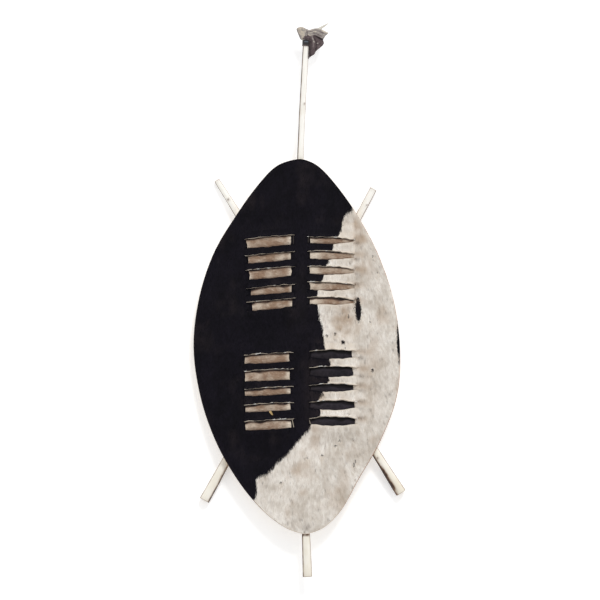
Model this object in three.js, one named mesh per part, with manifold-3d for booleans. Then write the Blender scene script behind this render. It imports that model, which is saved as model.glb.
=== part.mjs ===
// A cowhide shield: a pointed oval of stiff hide with four hide strips laced through slits in it, carried
// on a long centre stick and two crossed sticks behind it. Millimetres, +Z up. It lies face up on the
// crossed sticks, with the tufted end of the centre stick along +Y.

import * as THREE from "three";
import { mergeVertices } from "three/addons/utils/BufferGeometryUtils.js";
import Module from "manifold-3d";

// Clearances between neighbouring pieces
const pressGap = 0.3; // pieces that are tied hard against each other
const laceGap = 0.5; // a lace and the bands that it runs under and over
const cordGap = 0.5; // a cord and what it is wound round
const groundGap = 0.5; // the lashing and the ground

// The hide. Half-widths stand at even steps of an angle that goes from 0 at the upper tip to a half turn
// at the lower one, so that they crowd together towards both tips.
const hideLength = 900;
const hideLean = 12; // the lower tip lies this far to the right of the upper one
const hideThickness = 3;
const leftHalfWidths = [0, 54, 100, 153, 210, 247, 262, 248, 213, 162, 105, 48, 0];
const rightHalfWidths = [0, 41, 84, 134, 183, 219, 234, 226, 185, 131, 90, 46, 0];
const hideDroop = 28; // the widest edge hangs this far below the ridge over the centre stick
const droopPower = 1.6;
const tipRows = 6; // rows of facets between the weave and each tip
const edgeShares = [1, 0.7, 0.35]; // lines of facets outside the slits, as shares of the way to the edge

// The laces and their slits
const laceThickness = 2.5;
const laceTail = 40; // a lace goes on behind the hide for this far past its last slit
const lipCurl = 1; // the cut lip over a lace stands up by this much more
const slitGape = 1.4;
const tieGape = 3; // slits that a tie also passes through
const tieShare = 0.45; // where a tie passes, as a share of the way from the lace to the slit's end

// Each block of five slit pairs. Lengths across run outwards from the hide's middle; a lace edge has its
// place at the first pair and at the last. Heights up the shield are from the hide's middle too.
const weave = {
  lace_upper_left: {
    side: -1,
    slitInner: 13.7,
    slitOuter: 141.6,
    laceInner: [28.8, 24.7],
    laceOuter: [133.4, 121.2],
    firstPair: 250.8,
    pitch: 37.5,
    wander: [0, 0, 0, -3, 0],
    exposures: [23, 19.3, 23.3, 18.6, 21.4],
    slants: { upper: 5.4, lower: 5 },
    tiedPair: 0,
  },
  lace_upper_right: {
    side: 1,
    slitInner: 8.4,
    slitOuter: 127.2,
    laceInner: [18, 18],
    laceOuter: [122.4, 122.4],
    firstPair: 254.3,
    pitch: 36.6,
    wander: [0, 0, 0.8, -0.5, 0],
    exposures: [14.2, 16.8, 16.8, 16.8, 15.8],
    slants: { upper: 2.6, lower: -0.3 },
    tiedPair: 0,
  },
  lace_lower_left: {
    side: -1,
    slitInner: 17,
    slitOuter: 141.6,
    laceInner: [32.4, 27.6],
    laceOuter: [138, 136.6],
    firstPair: -28.8,
    pitch: 39.8,
    wander: [0, -1, 0, 1.4, 0],
    exposures: [21.8, 26, 17.6, 18.4, 21.6],
    slants: { upper: 3.6, lower: 2.9 },
    tiedPair: 4,
  },
  lace_lower_right: {
    side: 1,
    slitInner: 13.2,
    slitOuter: 137,
    laceInner: [20.4, 20.4],
    laceOuter: [118.8, 125.3],
    firstPair: -18.7,
    pitch: 40.3,
    wander: [0, -1.6, 0, -1, 0],
    exposures: [18.4, 21.8, 14.9, 17.9, 16.9],
    slants: { upper: 0.3, lower: 0 },
    tiedPair: 4,
  },
};

// The sticks. All three cross at one place. A stick's shares run from 0 at its thin upper end to 1 at its
// butt. Its lean is in degrees, its offset, bow and wave carry it sideways, and its girths are diameters.
const crossing = { x: 1.1, y: 49.5 };
const stickSides = 12;
const centreStick = {
  length: 1301,
  crossingShare: 0.537,
  lean: 0.1,
  offset: -8.9,
  bow: -19.5,
  wave: -2.6,
  girthShares: [0, 0.23, 0.92, 1],
  girths: [15, 15.4, 19.4, 22.8],
  rows: 26,
};
const leftStick = {
  length: 872.5,
  crossingShare: 0.4655,
  lean: 30.5,
  offset: 0,
  bow: 0,
  wave: 4.9,
  girthShares: [0, 0.11, 0.86, 1],
  girths: [13.7, 17, 20, 26],
  rows: 18,
};
const rightStick = {
  length: 852.5,
  crossingShare: 0.4397,
  lean: -28.5,
  offset: -5.9,
  bow: 3.6,
  wave: 0,
  girthShares: [0, 0.15, 0.8, 1],
  girths: [16.8, 17.4, 19.5, 25],
  rows: 18,
};
const centreStickDrop = 8; // both ends of the centre stick hang this far below its crossing

// The cords
const lashCord = 2.6;
const lashTurns = 5;
const lashPitch = 5.4;
const lashReach = 75; // the hide settles back on the centre stick over this distance from the lashing
const tieCord = 2;
const cordSides = 6;
const fineStepsPerTurn = 72;
const cordStep = 4; // a wound cord bends no more often than this
const behindAngles = [205, 237, 270, 303, 335]; // where a tie lies on the back of the centre stick

// The tuft and its binding, round the top of the centre stick
const bindingLength = 15;
const bindingThickness = 1.6;
const tuftLength = 86;
const tuftCover = 11.7; // how much of the stick's top the tuft takes in
const tuftFit = 0.4; // between the tuft and the stick inside it
const tuftWall = 2.6;
const tuftFlap = 4; // two layers of hide
// The flap's outline clockwise from its left corner, and its heart, from the stick's top end and as shares
// of the tuft's length; the heart sees every point of the outline.
const tuftOutline = [
  [-0.281, 0.163], [-0.16, 0.221], [0.06, 0.14], [0.27, 0.18], [0.433, 0.243], [0.617, 0.322],
  [0.374, 0.171], [0.6, 0.053], [0.444, -0.133], [0.486, -0.24], [0.277, -0.442], [0.223, -0.535],
  [0.113, -0.621], [0.085, -0.674], [0.107, -0.349], [0.115, -0.13], [-0.15, -0.128], [-0.219, 0],
];
const tuftHeart = [0.142, 0.093];
const flapRings = [1, 0.75, 0.5, 0.25]; // shares of the way from the heart to the outline
// The flap is highest along the stick, falls to both sides and has folds, all as shares of its length
const flapCrown = { height: 0.08, spread: 0.17 };
const flapFall = 0.12;
const flapFold = { depth: 0.03, across: 14, along: 5, reach: 0.2 };

// Shared working values
const up = new THREE.Vector3(0, 0, 1);
// From a stick's middle to its flats, as a share of its radius
const facetFlat = Math.cos(Math.PI / stickSides);
const { lerp, degToRad } = THREE.MathUtils;

// Closed solids from sheets

/** A closed solid from the middle surface of a sheet, its points and its faces seen from above. Edges
 * that only one face has are walled in. */
function sheetSolid(points, faces, thickness) {
  const count = points.length;
  const moved = (height) => points.flatMap((point) => [point.x, point.y, point.z + height]);
  const positions = [...moved(thickness / 2), ...moved(-thickness / 2)];
  const edges = new Map();
  for (const [a, b, c] of faces) {
    for (const [from, to] of [[a, b], [b, c], [c, a]]) edges.set(`${from},${to}`, [from, to]);
  }
  const rim = [...edges.values()].filter(([from, to]) => !edges.has(`${to},${from}`));
  const indices = [
    ...faces.flat(),
    ...faces.flatMap(([a, b, c]) => [c + count, b + count, a + count]),
    ...rim.flatMap(([from, to]) => [to, from, from + count, to, from + count, to + count]),
  ];
  return indexed(positions, indices);
}

/** A geometry from a flat list of positions and one of indices. */
function indexed(positions, indices) {
  const geometry = new THREE.BufferGeometry();
  geometry.setAttribute("position", new THREE.Float32BufferAttribute(positions, 3));
  geometry.setIndex(indices);
  geometry.computeVertexNormals();
  return geometry;
}

/** The two faces of a quad whose corners go round it against the clock from the upper left. */
function quad(upperLeft, lowerLeft, lowerRight, upperRight) {
  return [[upperLeft, lowerLeft, lowerRight], [upperLeft, lowerRight, upperRight]];
}

/** The same geometry with only its positions, each shared by every face that meets there. */
function welded(geometry) {
  const plain = geometry.clone();
  plain.deleteAttribute("uv");
  plain.deleteAttribute("normal");
  const merged = mergeVertices(plain, 1e-4);
  merged.computeVertexNormals();
  return merged;
}

// The sticks

/** Half the thickness of a stick at a share of its length. */
function radiusAt(stick, share) {
  const { girths, girthShares } = stick;
  let knot = 1;
  while (knot + 1 < girths.length && share > girthShares[knot]) knot += 1;
  const [from, to] = girthShares.slice(knot - 1, knot + 1);
  const [thin, thick] = girths.slice(knot - 1, knot + 1);
  return lerp(thin, thick, THREE.MathUtils.clamp((share - from) / (to - from), 0, 1)) / 2;
}

/** How far a stick's bow and wave carry it to the right at a share of its length. */
function sway(stick, share) {
  return stick.bow * Math.sin(Math.PI * share) + stick.wave * Math.sin(2 * Math.PI * share);
}

/** The share of a stick's length that lies at this place up the shield. */
function shareAt(stick, y) {
  return stick.crossingShare + (crossing.y - y) / (stick.length * Math.cos(degToRad(stick.lean)));
}

/** The middle of a stick at a share of its length, highest at the crossing and bent down to both ends. */
function axisAt(stick, share) {
  const { crossingShare, length, lean, offset, heights } = stick;
  const along = (share - crossingShare) * length;
  const swayed = sway(stick, share) - sway(stick, crossingShare);
  const upper = share < crossingShare;
  const away = upper ? 1 - share / crossingShare : (share - crossingShare) / (1 - crossingShare);
  return new THREE.Vector3(
    crossing.x + offset + along * Math.sin(degToRad(lean)) + swayed,
    crossing.y - along * Math.cos(degToRad(lean)),
    lerp(heights.crossing, upper ? heights.tip : heights.butt, away * away),
  );
}

/** Half the height of a stick between its upper and lower flats. */
function flatAt(stick, share) {
  return radiusAt(stick, share) * facetFlat;
}

/** Stacks the sticks at the crossing, the right one lowest, and sets both ends of the crossed ones down. */
function stackSticks() {
  const atCrossing = (stick) => flatAt(stick, stick.crossingShare);
  const onGround = (stick) => ({ tip: flatAt(stick, 0), butt: flatAt(stick, 1) });
  const lowest = groundGap + lashCord + cordGap + atCrossing(rightStick);
  const middle = lowest + atCrossing(rightStick) + pressGap + atCrossing(leftStick);
  const highest = middle + atCrossing(leftStick) + pressGap + atCrossing(centreStick);
  const hanging = highest - centreStickDrop;
  rightStick.heights = { crossing: lowest, ...onGround(rightStick) };
  leftStick.heights = { crossing: middle, ...onGround(leftStick) };
  centreStick.heights = { crossing: highest, tip: hanging, butt: hanging };
}

/** Bends a geometry turned about the Y axis so that Y follows a stick from its upper end. */
function bendAlong(stick, geometry) {
  const position = geometry.getAttribute("position");
  const step = 1e-3;
  for (let index = 0; index < position.count; index += 1) {
    const share = position.getY(index) / stick.length;
    const tangent = axisAt(stick, share + step).sub(axisAt(stick, share - step)).normalize();
    const across = new THREE.Vector3().crossVectors(tangent, up).normalize();
    const outward = new THREE.Vector3().crossVectors(across, tangent);
    const place = axisAt(stick, share)
      .addScaledVector(across, position.getX(index))
      .addScaledVector(outward, position.getZ(index));
    position.setXYZ(index, place.x, place.y, place.z);
  }
  return welded(geometry);
}

/** A turned profile round a stick, with a flat above and below. */
function turned(profile, stick) {
  return bendAlong(stick, new THREE.LatheGeometry(profile, stickSides, Math.PI / stickSides));
}

/** A whole stick with flat sawn ends, grown by a clearance on every side. */
function stickGeometry(stick, clearance = 0) {
  const profile = [new THREE.Vector2(0, -clearance)];
  for (let row = 0; row <= stick.rows; row += 1) {
    const share = row / stick.rows;
    const reach = row === 0 ? -clearance : row === stick.rows ? clearance : 0;
    profile.push(new THREE.Vector2(radiusAt(stick, share) + clearance, share * stick.length + reach));
  }
  profile.push(new THREE.Vector2(0, stick.length + clearance));
  return turned(profile, stick);
}

// The hide's surface

const halfWidthCurves = new Map(
  [[-1, leftHalfWidths], [1, rightHalfWidths]].map(([side, widths]) => [
    side,
    new THREE.SplineCurve(widths.map((width, step) => new THREE.Vector2(step, width))),
  ]),
);
const widestHalf = Math.max(...leftHalfWidths, ...rightHalfWidths);

/** The angle's share of a half turn at this place up the shield. */
function angleShare(y) {
  return Math.acos(THREE.MathUtils.clamp((2 * y) / hideLength, -1, 1)) / Math.PI;
}

/** The hide's cut edge on one side at this place up the shield. */
function edgeX(side, y) {
  const middle = (-hideLean * y) / hideLength;
  return middle + side * halfWidthCurves.get(side).getPoint(angleShare(y)).y;
}

/** The middle of the centre stick at this place up the shield, where the hide has its ridge. */
function ridgeAt(y) {
  return axisAt(centreStick, shareAt(centreStick, y));
}

/** The middle surface of the hide before its bands are lifted. */
function hideMiddle(x, y) {
  const ridge = ridgeAt(y);
  const fromCrossing = (y - crossing.y) / lashReach;
  const lashRoom = (lashCord + cordGap) * Math.exp(-fromCrossing * fromCrossing);
  const underside = ridge.z + radiusAt(centreStick, shareAt(centreStick, y)) + pressGap + lashRoom;
  const droop = hideDroop * (Math.abs(x - ridge.x) / widestHalf) ** droopPower;
  return new THREE.Vector3(x, y, underside + hideThickness / 2 - droop);
}

// The levels of the weave

const lift = hideThickness / 2 + laceThickness / 2 + laceGap;
const stations = ["slitOuter", "laceOuter", "laceMiddle", "laceInner", "tie", "slitInner"];
// How much of a band's lift each station has; a slit is open at every station that has any
const stationLift = {
  slitOuter: 0,
  laceOuter: 1,
  laceMiddle: 1,
  laceInner: 1,
  tie: 1 - tieShare,
  slitInner: 0,
};

/** How far out a station stands at this place up the shield, in one block of the weave. */
function stationX(block, station, y) {
  const share = (block.firstPair - y) / (4 * block.pitch);
  const inner = lerp(block.laceInner[0], block.laceInner[1], share);
  const outer = lerp(block.laceOuter[0], block.laceOuter[1], share);
  const distances = {
    slitOuter: block.slitOuter,
    laceOuter: outer,
    laceMiddle: (inner + outer) / 2,
    laceInner: inner,
    tie: lerp(inner, block.slitInner, tieShare),
    slitInner: block.slitInner,
  };
  return block.side * distances[station];
}

/** A place up the shield at one station of a level, which slants down towards the slit's outer end. */
function stationY(level, station) {
  const { block, y, slant } = level;
  const middle = stationX(block, "laceMiddle", y);
  const outward = block.side * (stationX(block, station, y) - middle);
  return y - Math.tan(degToRad(slant)) * outward;
}

/** One block's levels from its upper tail's end to its lower one: each slit, and two levels for each tail.
 * A level holds the hide's lift just above and just below it, and how far the lace is let down. */
function blockLevels(block) {
  const pairs = block.exposures.map((exposure, pair) => {
    const centre = block.firstPair - pair * block.pitch + block.wander[pair];
    const gape = pair === block.tiedPair ? tieGape : slitGape;
    const { upper, lower } = block.slants;
    return [
      { y: centre + exposure / 2, slant: upper, gape, above: lift + lipCurl, below: -lift, drop: 0 },
      { y: centre - exposure / 2, slant: lower, gape, above: -lift, below: lift, drop: 0 },
    ];
  });
  const slits = pairs.flat();
  const tail = (slit, direction, share) => ({
    y: slit.y + direction * share * laceTail,
    slant: slit.slant,
    gape: 0,
    above: lift * (1 - share),
    below: lift * (1 - share),
    drop: lift * share,
  });
  const first = slits[0];
  const last = slits[slits.length - 1];
  const upperTail = [tail(first, 1, 1), tail(first, 1, 0.5)];
  const lowerTail = [tail(last, -1, 0.5), tail(last, -1, 1)];
  return [...upperTail, ...slits, ...lowerTail].map((level) => ({ ...level, block }));
}

/** The points of one side of a hide row, from the edge inwards: each a pair, above and below its level. */
function weaveSide(level) {
  const points = stations.map((station) => {
    const x = stationX(level.block, station, level.y);
    const y = stationY(level, station);
    const gape = stationLift[station] > 0 ? level.gape / 2 : 0;
    const above = hideMiddle(x, y + gape).addScaledVector(up, level.above * stationLift[station]);
    const below = hideMiddle(x, y - gape).addScaledVector(up, level.below * stationLift[station]);
    return gape > 0 ? [above, below] : [above, above];
  });
  const end = points[0][0];
  const edge = edgeX(level.block.side, end.y);
  const outer = edgeShares.map((share) => {
    const point = hideMiddle(lerp(end.x, edge, share), end.y);
    return [point, point];
  });
  return [...outer, ...points];
}

/** A whole row of the hide, from its left edge to its right one, at a level of each side. */
function weaveRow(leftLevel, rightLevel) {
  const left = weaveSide(leftLevel);
  const right = weaveSide(rightLevel).reverse();
  const y = (left[left.length - 1][0].y + right[0][0].y) / 2;
  const ridge = hideMiddle(ridgeAt(y).x, y);
  return [...left, [ridge, ridge], ...right];
}

/** A row between the weave and a tip: the last row of the weave, drawn in with the hide's edges. */
function tipRow(lastRow, y) {
  const ridge = ridgeAt(y).x;
  return lastRow.map(([point]) => {
    const side = Math.sign(point.x - ridgeAt(point.y).x) || 1;
    const reach = edgeX(side, point.y) - ridgeAt(point.y).x;
    const share = THREE.MathUtils.clamp((point.x - ridgeAt(point.y).x) / reach, 0, 1);
    const drawn = hideMiddle(lerp(ridge, edgeX(side, y), share), y);
    return [drawn, drawn];
  });
}

/** The rows from a weave's last row to a tip, their steps shortening towards the tip. */
function tipRowsFrom(lastRow, direction) {
  const nearest = Math.max(...lastRow.map(([point]) => direction * point.y));
  const startShare = angleShare(nearest);
  return Array.from({ length: tipRows }, (_, row) => {
    const share = startShare * (1 - (row + 1) / (tipRows + 1));
    return tipRow(lastRow, direction * (hideLength / 2) * Math.cos(Math.PI * share));
  });
}

const levelsOf = Object.fromEntries(
  Object.entries(weave).map(([name, block]) => [name, blockLevels(block)]),
);

/** The hide: rows from tip to tip, with a slit wherever a row's points stand in two. */
function hideGeometry() {
  const leftLevels = [...levelsOf.lace_upper_left, ...levelsOf.lace_lower_left];
  const rightLevels = [...levelsOf.lace_upper_right, ...levelsOf.lace_lower_right];
  const woven = leftLevels.map((level, index) => weaveRow(level, rightLevels[index]));
  const rows = [
    ...tipRowsFrom(woven[0], 1).reverse(),
    ...woven,
    ...tipRowsFrom(woven[woven.length - 1], -1),
  ];
  const points = [];
  const numbered = rows.map((row) =>
    row.map(([above, below]) => {
      const first = points.push(above) - 1;
      return [first, below === above ? first : points.push(below) - 1];
    }),
  );
  const faces = [];
  for (let row = 0; row + 1 < numbered.length; row += 1) {
    const upper = numbered[row].map(([, below]) => below);
    const lower = numbered[row + 1].map(([above]) => above);
    for (let line = 0; line + 1 < upper.length; line += 1) {
      faces.push(...quad(upper[line], lower[line], lower[line + 1], upper[line + 1]));
    }
  }
  const tips = [1, -1].map((direction) => {
    const y = (direction * hideLength) / 2;
    return points.push(hideMiddle((-hideLean * y) / hideLength, y)) - 1;
  });
  const topRow = numbered[0].map(([above]) => above);
  const bottomRow = numbered[numbered.length - 1].map(([above]) => above);
  for (let line = 0; line + 1 < topRow.length; line += 1) {
    faces.push([tips[0], topRow[line], topRow[line + 1]]);
    faces.push([tips[1], bottomRow[line + 1], bottomRow[line]]);
  }
  return sheetSolid(points, faces, hideThickness);
}

/** A lace: a strip that stays level while the hide's bands pass over it and under it. */
function laceGeometry(name) {
  const block = weave[name];
  const outwards = ["laceInner", "laceMiddle", "laceOuter"];
  const across = block.side < 0 ? outwards.reverse() : outwards;
  const points = levelsOf[name].flatMap((level) =>
    across.map((station) => {
      const place = hideMiddle(stationX(block, station, level.y), stationY(level, station));
      return place.addScaledVector(up, -level.drop);
    }),
  );
  const faces = [];
  for (let row = 0; row + 1 < levelsOf[name].length; row += 1) {
    for (let line = 0; line + 1 < across.length; line += 1) {
      const corner = row * across.length + line;
      faces.push(...quad(corner, corner + across.length, corner + across.length + 1, corner + 1));
    }
  }
  return sheetSolid(points, faces, laceThickness);
}

// Cords

/** The way out of a cord at each of its points: one direction carried along it without twisting, except
 * that a ring's leftover twist is shared out so that its ends meet. */
function cordNormals(tangents, closed) {
  const carry = (normal, from, to) =>
    normal.clone().applyQuaternion(new THREE.Quaternion().setFromUnitVectors(from, to));
  const normals = [new THREE.Vector3().crossVectors(tangents[0], up).normalize()];
  for (let index = 1; index < tangents.length; index += 1) {
    normals.push(carry(normals[index - 1], tangents[index - 1], tangents[index]));
  }
  if (!closed) return normals;
  const last = tangents.length - 1;
  const back = carry(normals[last], tangents[last], tangents[0]);
  const sine = new THREE.Vector3().crossVectors(normals[0], back).dot(tangents[0]);
  const twist = Math.atan2(sine, normals[0].dot(back)) / tangents.length;
  return normals.map((normal, index) => normal.applyAxisAngle(tangents[index], -twist * index));
}

/** A round cord through a list of points, either a closed ring or with flat ends. */
function cordGeometry(points, diameter, closed) {
  const count = points.length;
  const clamped = (index) => THREE.MathUtils.clamp(index, 0, count - 1);
  const near = (index) => points[closed ? (index + count) % count : clamped(index)];
  const tangents = points.map((_, index) =>
    near(index + 1).clone().sub(near(index - 1)).normalize(),
  );
  const normals = cordNormals(tangents, closed);
  const positions = points.flatMap((middle, ring) =>
    Array.from({ length: cordSides }, (_, side) => {
      const angle = (2 * Math.PI * side) / cordSides;
      const outward = normals[ring].clone().applyAxisAngle(tangents[ring], angle);
      return middle.clone().addScaledVector(outward, diameter / 2).toArray();
    }),
  ).flat();
  const indices = [];
  for (let ring = 0; ring < (closed ? count : count - 1); ring += 1) {
    for (let side = 0; side < cordSides; side += 1) {
      const turn = (side + 1) % cordSides;
      const [here, ahead] = [ring * cordSides, ((ring + 1) % count) * cordSides];
      indices.push(here + side, here + turn, ahead + turn);
      indices.push(here + side, ahead + turn, ahead + side);
    }
  }
  const last = (count - 1) * cordSides;
  for (let side = 1; !closed && side + 1 < cordSides; side += 1) {
    indices.push(0, side + 1, side, last, last + side, last + side + 1);
  }
  return indexed(positions, indices);
}

/** The point furthest out in one direction, seen along Y, on sticks grown to a cord round them. */
function hullPoint(angle, y, sticks, grow) {
  const direction = new THREE.Vector2(Math.cos(angle), Math.sin(angle));
  let best = { reach: -Infinity };
  for (const stick of sticks) {
    const share = shareAt(stick, y);
    const middle = axisAt(stick, share);
    const high = radiusAt(stick, share) + grow;
    const wide = high / Math.cos(degToRad(stick.lean));
    const spread = Math.hypot(wide * direction.x, high * direction.y);
    const reach = middle.x * direction.x + middle.z * direction.y + spread;
    if (reach > best.reach) {
      best = {
        reach,
        x: middle.x + (wide * wide * direction.x) / spread,
        z: middle.z + (high * high * direction.y) / spread,
      };
    }
  }
  return new THREE.Vector3(best.x, y, best.z);
}

/** The lashing that winds round all three sticks where they cross, its two ends at the back. */
function lashingGeometry() {
  const sticks = [centreStick, leftStick, rightStick];
  const steps = lashTurns * fineStepsPerTurn;
  const points = [];
  for (let step = 0; step <= steps; step += 1) {
    const turns = step / fineStepsPerTurn;
    const y = crossing.y + (lashTurns / 2 - turns) * lashPitch;
    const point = hullPoint(-2 * Math.PI * turns - Math.PI / 2, y, sticks, lashCord / 2 + cordGap);
    const last = points[points.length - 1];
    if (!last || point.distanceTo(last) > cordStep) points.push(point);
  }
  return cordGeometry(points, lashCord, false);
}

/** A tie: a ring of cord over the inner end of a narrow band on each side, and behind the centre stick. */
function tieGeometry(leftName, rightName) {
  const [leftUpper, leftLower, rightUpper, rightLower] = [leftName, rightName].flatMap((name) => {
    const { block } = levelsOf[name][0];
    const slits = levelsOf[name].slice(2 + 2 * block.tiedPair, 4 + 2 * block.tiedPair);
    return slits.map((level) => hideMiddle(stationX(block, "tie", level.y), stationY(level, "tie")));
  });
  const halfCord = tieCord / 2;
  const band = lift * stationLift.tie;
  const front = hideThickness / 2 - band + halfCord + cordGap;
  const back = -hideThickness / 2 - band - halfCord - cordGap;
  const beside = (slit, inward, height) => slit.clone().add(new THREE.Vector3(0, inward, height));
  // Up through one slit, over the narrow band, and down through the other
  const over = (from, to) => {
    const inward = Math.sign(to.y - from.y) * halfCord;
    return [
      beside(from, 0, back),
      beside(from, 0, 0),
      beside(from, inward, front),
      beside(from.clone().lerp(to, 0.5), 0, front),
      beside(to, -inward, front),
      beside(to, 0, 0),
      beside(to, 0, back),
    ];
  };
  // From left to right behind the centre stick, at angles round its middle
  const behind = (from, to) =>
    behindAngles.map((angle, index) => {
      const y = lerp(from.y, to.y, (index + 1) / (behindAngles.length + 1));
      return hullPoint(degToRad(angle), y, [centreStick], halfCord + cordGap);
    });
  const points = [
    ...over(leftLower, leftUpper),
    ...behind(leftUpper, rightUpper),
    ...over(rightUpper, rightLower),
    ...behind(leftLower, rightLower).reverse(),
  ];
  const curve = new THREE.CatmullRomCurve3(points, true, "centripetal");
  return cordGeometry(curve.getPoints(2 * points.length).slice(0, -1), tieCord, true);
}

// The tuft and its binding

/** The binding: a short sleeve round the centre stick, just below what the tuft covers. */
function bindingGeometry() {
  const start = tuftCover + pressGap;
  const inner = radiusAt(centreStick, start / centreStick.length) + pressGap;
  const outer = inner + bindingThickness;
  const corners = [[inner, 0], [outer, 0], [outer, 1], [inner, 1], [inner, 0]];
  const profile = corners.map(
    ([radius, end]) => new THREE.Vector2(radius, start + end * bindingLength),
  );
  return turned(profile, centreStick);
}

/** The tuft's loose flap: a folded scrap with its own outline, laid over the top of the stick. */
function flapGeometry() {
  const top = axisAt(centreStick, 0);
  const outline = tuftOutline.map(([x, y]) => new THREE.Vector2(x, y).multiplyScalar(tuftLength));
  const heart = new THREE.Vector2(...tuftHeart).multiplyScalar(tuftLength);
  const surface = (place) => {
    const across = place.x / tuftLength;
    const along = place.y / tuftLength;
    const crown = flapCrown.height * Math.exp(-((across / flapCrown.spread) ** 2));
    const wave = Math.sin(flapFold.across * across + flapFold.along * along);
    const fold = flapFold.depth * wave * Math.min(1, Math.abs(across) / flapFold.reach);
    const height = (crown - flapFall * Math.abs(across) + fold) * tuftLength;
    return new THREE.Vector3(top.x + place.x, top.y + place.y, top.z + height);
  };
  const count = outline.length;
  const points = flapRings.flatMap((share) =>
    outline.map((place) => surface(heart.clone().lerp(place, share))),
  );
  const middle = points.push(surface(heart)) - 1;
  const faces = [];
  for (let corner = 0; corner < count; corner += 1) {
    const next = (corner + 1) % count;
    for (let ring = 0; ring + 1 < flapRings.length; ring += 1) {
      const outer = ring * count;
      faces.push(...quad(outer + next, outer + corner, outer + count + corner, outer + count + next));
    }
    const inner = (flapRings.length - 1) * count;
    faces.push([inner + next, inner + corner, middle]);
  }
  return sheetSolid(points, faces, tuftFlap);
}

/** The tuft: its flap joined to the part that wraps the stick's top, hollowed to take the stick. */
function tuftGeometry(Manifold, Mesh) {
  const bore = radiusAt(centreStick, 0) + tuftFit;
  const outer = bore + tuftWall;
  const crown = -tuftFit - tuftWall;
  const corners = [[0, crown], [bore, crown], [outer, 0], [outer, tuftCover], [0, tuftCover]];
  const profile = corners.map(([radius, along]) => new THREE.Vector2(radius, along));
  const wrap = turned(profile, centreStick);
  const solid = (geometry) => {
    const merged = welded(geometry);
    const vertProperties = merged.getAttribute("position").array;
    const triVerts = new Uint32Array(merged.index.array);
    return new Manifold(new Mesh({ numProp: 3, vertProperties, triVerts }));
  };
  const stick = solid(stickGeometry(centreStick, tuftFit));
  const cut = solid(flapGeometry()).add(solid(wrap)).subtract(stick).getMesh();
  return indexed(cut.vertProperties, [...cut.triVerts]);
}

// The shield

const wasm = await Module();
wasm.setup();
stackSticks();

/** A named piece with its own finish. */
function piece(name, geometry, color, roughness) {
  const material = new THREE.MeshStandardMaterial({ color, roughness, metalness: 0 });
  const mesh = new THREE.Mesh(geometry, material);
  mesh.name = name;
  return mesh;
}

const hair = "#2b282b";
const fleshSide = "#907a6a";
const blackHair = "#383236";
const peeledWood = "#e6e0cf";
const sinew = "#a89a86";

const pieces = new THREE.Group();
pieces.add(
  piece("hide", hideGeometry(), hair, 0.75),
  piece("lace_upper_left", laceGeometry("lace_upper_left"), fleshSide, 0.8),
  piece("lace_upper_right", laceGeometry("lace_upper_right"), fleshSide, 0.8),
  piece("lace_lower_left", laceGeometry("lace_lower_left"), fleshSide, 0.8),
  piece("lace_lower_right", laceGeometry("lace_lower_right"), blackHair, 0.8),
  piece("centre_stick", stickGeometry(centreStick), peeledWood, 0.6),
  piece("crossed_stick_left", stickGeometry(leftStick), peeledWood, 0.6),
  piece("crossed_stick_right", stickGeometry(rightStick), peeledWood, 0.6),
  piece("centre_lashing", lashingGeometry(), sinew, 0.7),
  piece("stick_tie_top", tieGeometry("lace_upper_left", "lace_upper_right"), sinew, 0.7),
  piece("stick_tie_bottom", tieGeometry("lace_lower_left", "lace_lower_right"), sinew, 0.7),
  piece("tuft", tuftGeometry(wasm.Manifold, wasm.Mesh), "#6f6259", 0.8),
  piece("tuft_binding", bindingGeometry(), "#2c282b", 0.5),
);

// The origin is on the ground, under the middle of the whole shield.
const box = new THREE.Box3().setFromObject(pieces, true);
const middle = box.getCenter(new THREE.Vector3());
pieces.position.set(-middle.x, -middle.y, -box.min.z);

const shield = new THREE.Group();
shield.add(pieces);

export default shield;
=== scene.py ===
"""The looks of a cowhide shield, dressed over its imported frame.

The hide, its four laces, the three sticks, the cords and the tuft each have a class that holds its sizes
and makes its meshes. Sizes are in millimetres in the maker's frame, whose origin is the middle of the
hide; Place carries them to the row frame in metres.
"""

from __future__ import annotations

import logging
import math
from dataclasses import dataclass
from enum import Enum

import bmesh
import bpy
import numpy as np
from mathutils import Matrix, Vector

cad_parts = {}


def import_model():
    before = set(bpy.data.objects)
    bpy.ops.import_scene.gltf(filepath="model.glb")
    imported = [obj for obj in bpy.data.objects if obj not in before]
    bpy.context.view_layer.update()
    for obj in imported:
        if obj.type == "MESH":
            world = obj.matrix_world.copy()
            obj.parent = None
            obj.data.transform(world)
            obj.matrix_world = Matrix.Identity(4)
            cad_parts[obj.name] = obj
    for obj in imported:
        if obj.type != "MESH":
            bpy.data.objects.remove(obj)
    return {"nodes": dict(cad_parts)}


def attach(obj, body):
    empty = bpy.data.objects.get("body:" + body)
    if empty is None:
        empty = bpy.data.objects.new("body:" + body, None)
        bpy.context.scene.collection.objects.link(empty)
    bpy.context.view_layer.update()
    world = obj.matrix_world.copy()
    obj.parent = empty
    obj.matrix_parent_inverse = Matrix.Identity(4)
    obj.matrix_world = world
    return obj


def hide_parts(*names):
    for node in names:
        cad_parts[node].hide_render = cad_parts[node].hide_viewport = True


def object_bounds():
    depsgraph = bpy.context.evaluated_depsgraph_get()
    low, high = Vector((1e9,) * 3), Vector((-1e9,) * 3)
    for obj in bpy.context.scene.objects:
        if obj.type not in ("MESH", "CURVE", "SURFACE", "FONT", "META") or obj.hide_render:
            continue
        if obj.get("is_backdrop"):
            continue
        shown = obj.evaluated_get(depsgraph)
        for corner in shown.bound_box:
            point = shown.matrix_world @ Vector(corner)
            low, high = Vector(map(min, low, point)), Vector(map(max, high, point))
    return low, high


log = logging.getLogger("shield")
Colour = tuple[float, float, float]
Face = tuple[int, ...]


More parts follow.
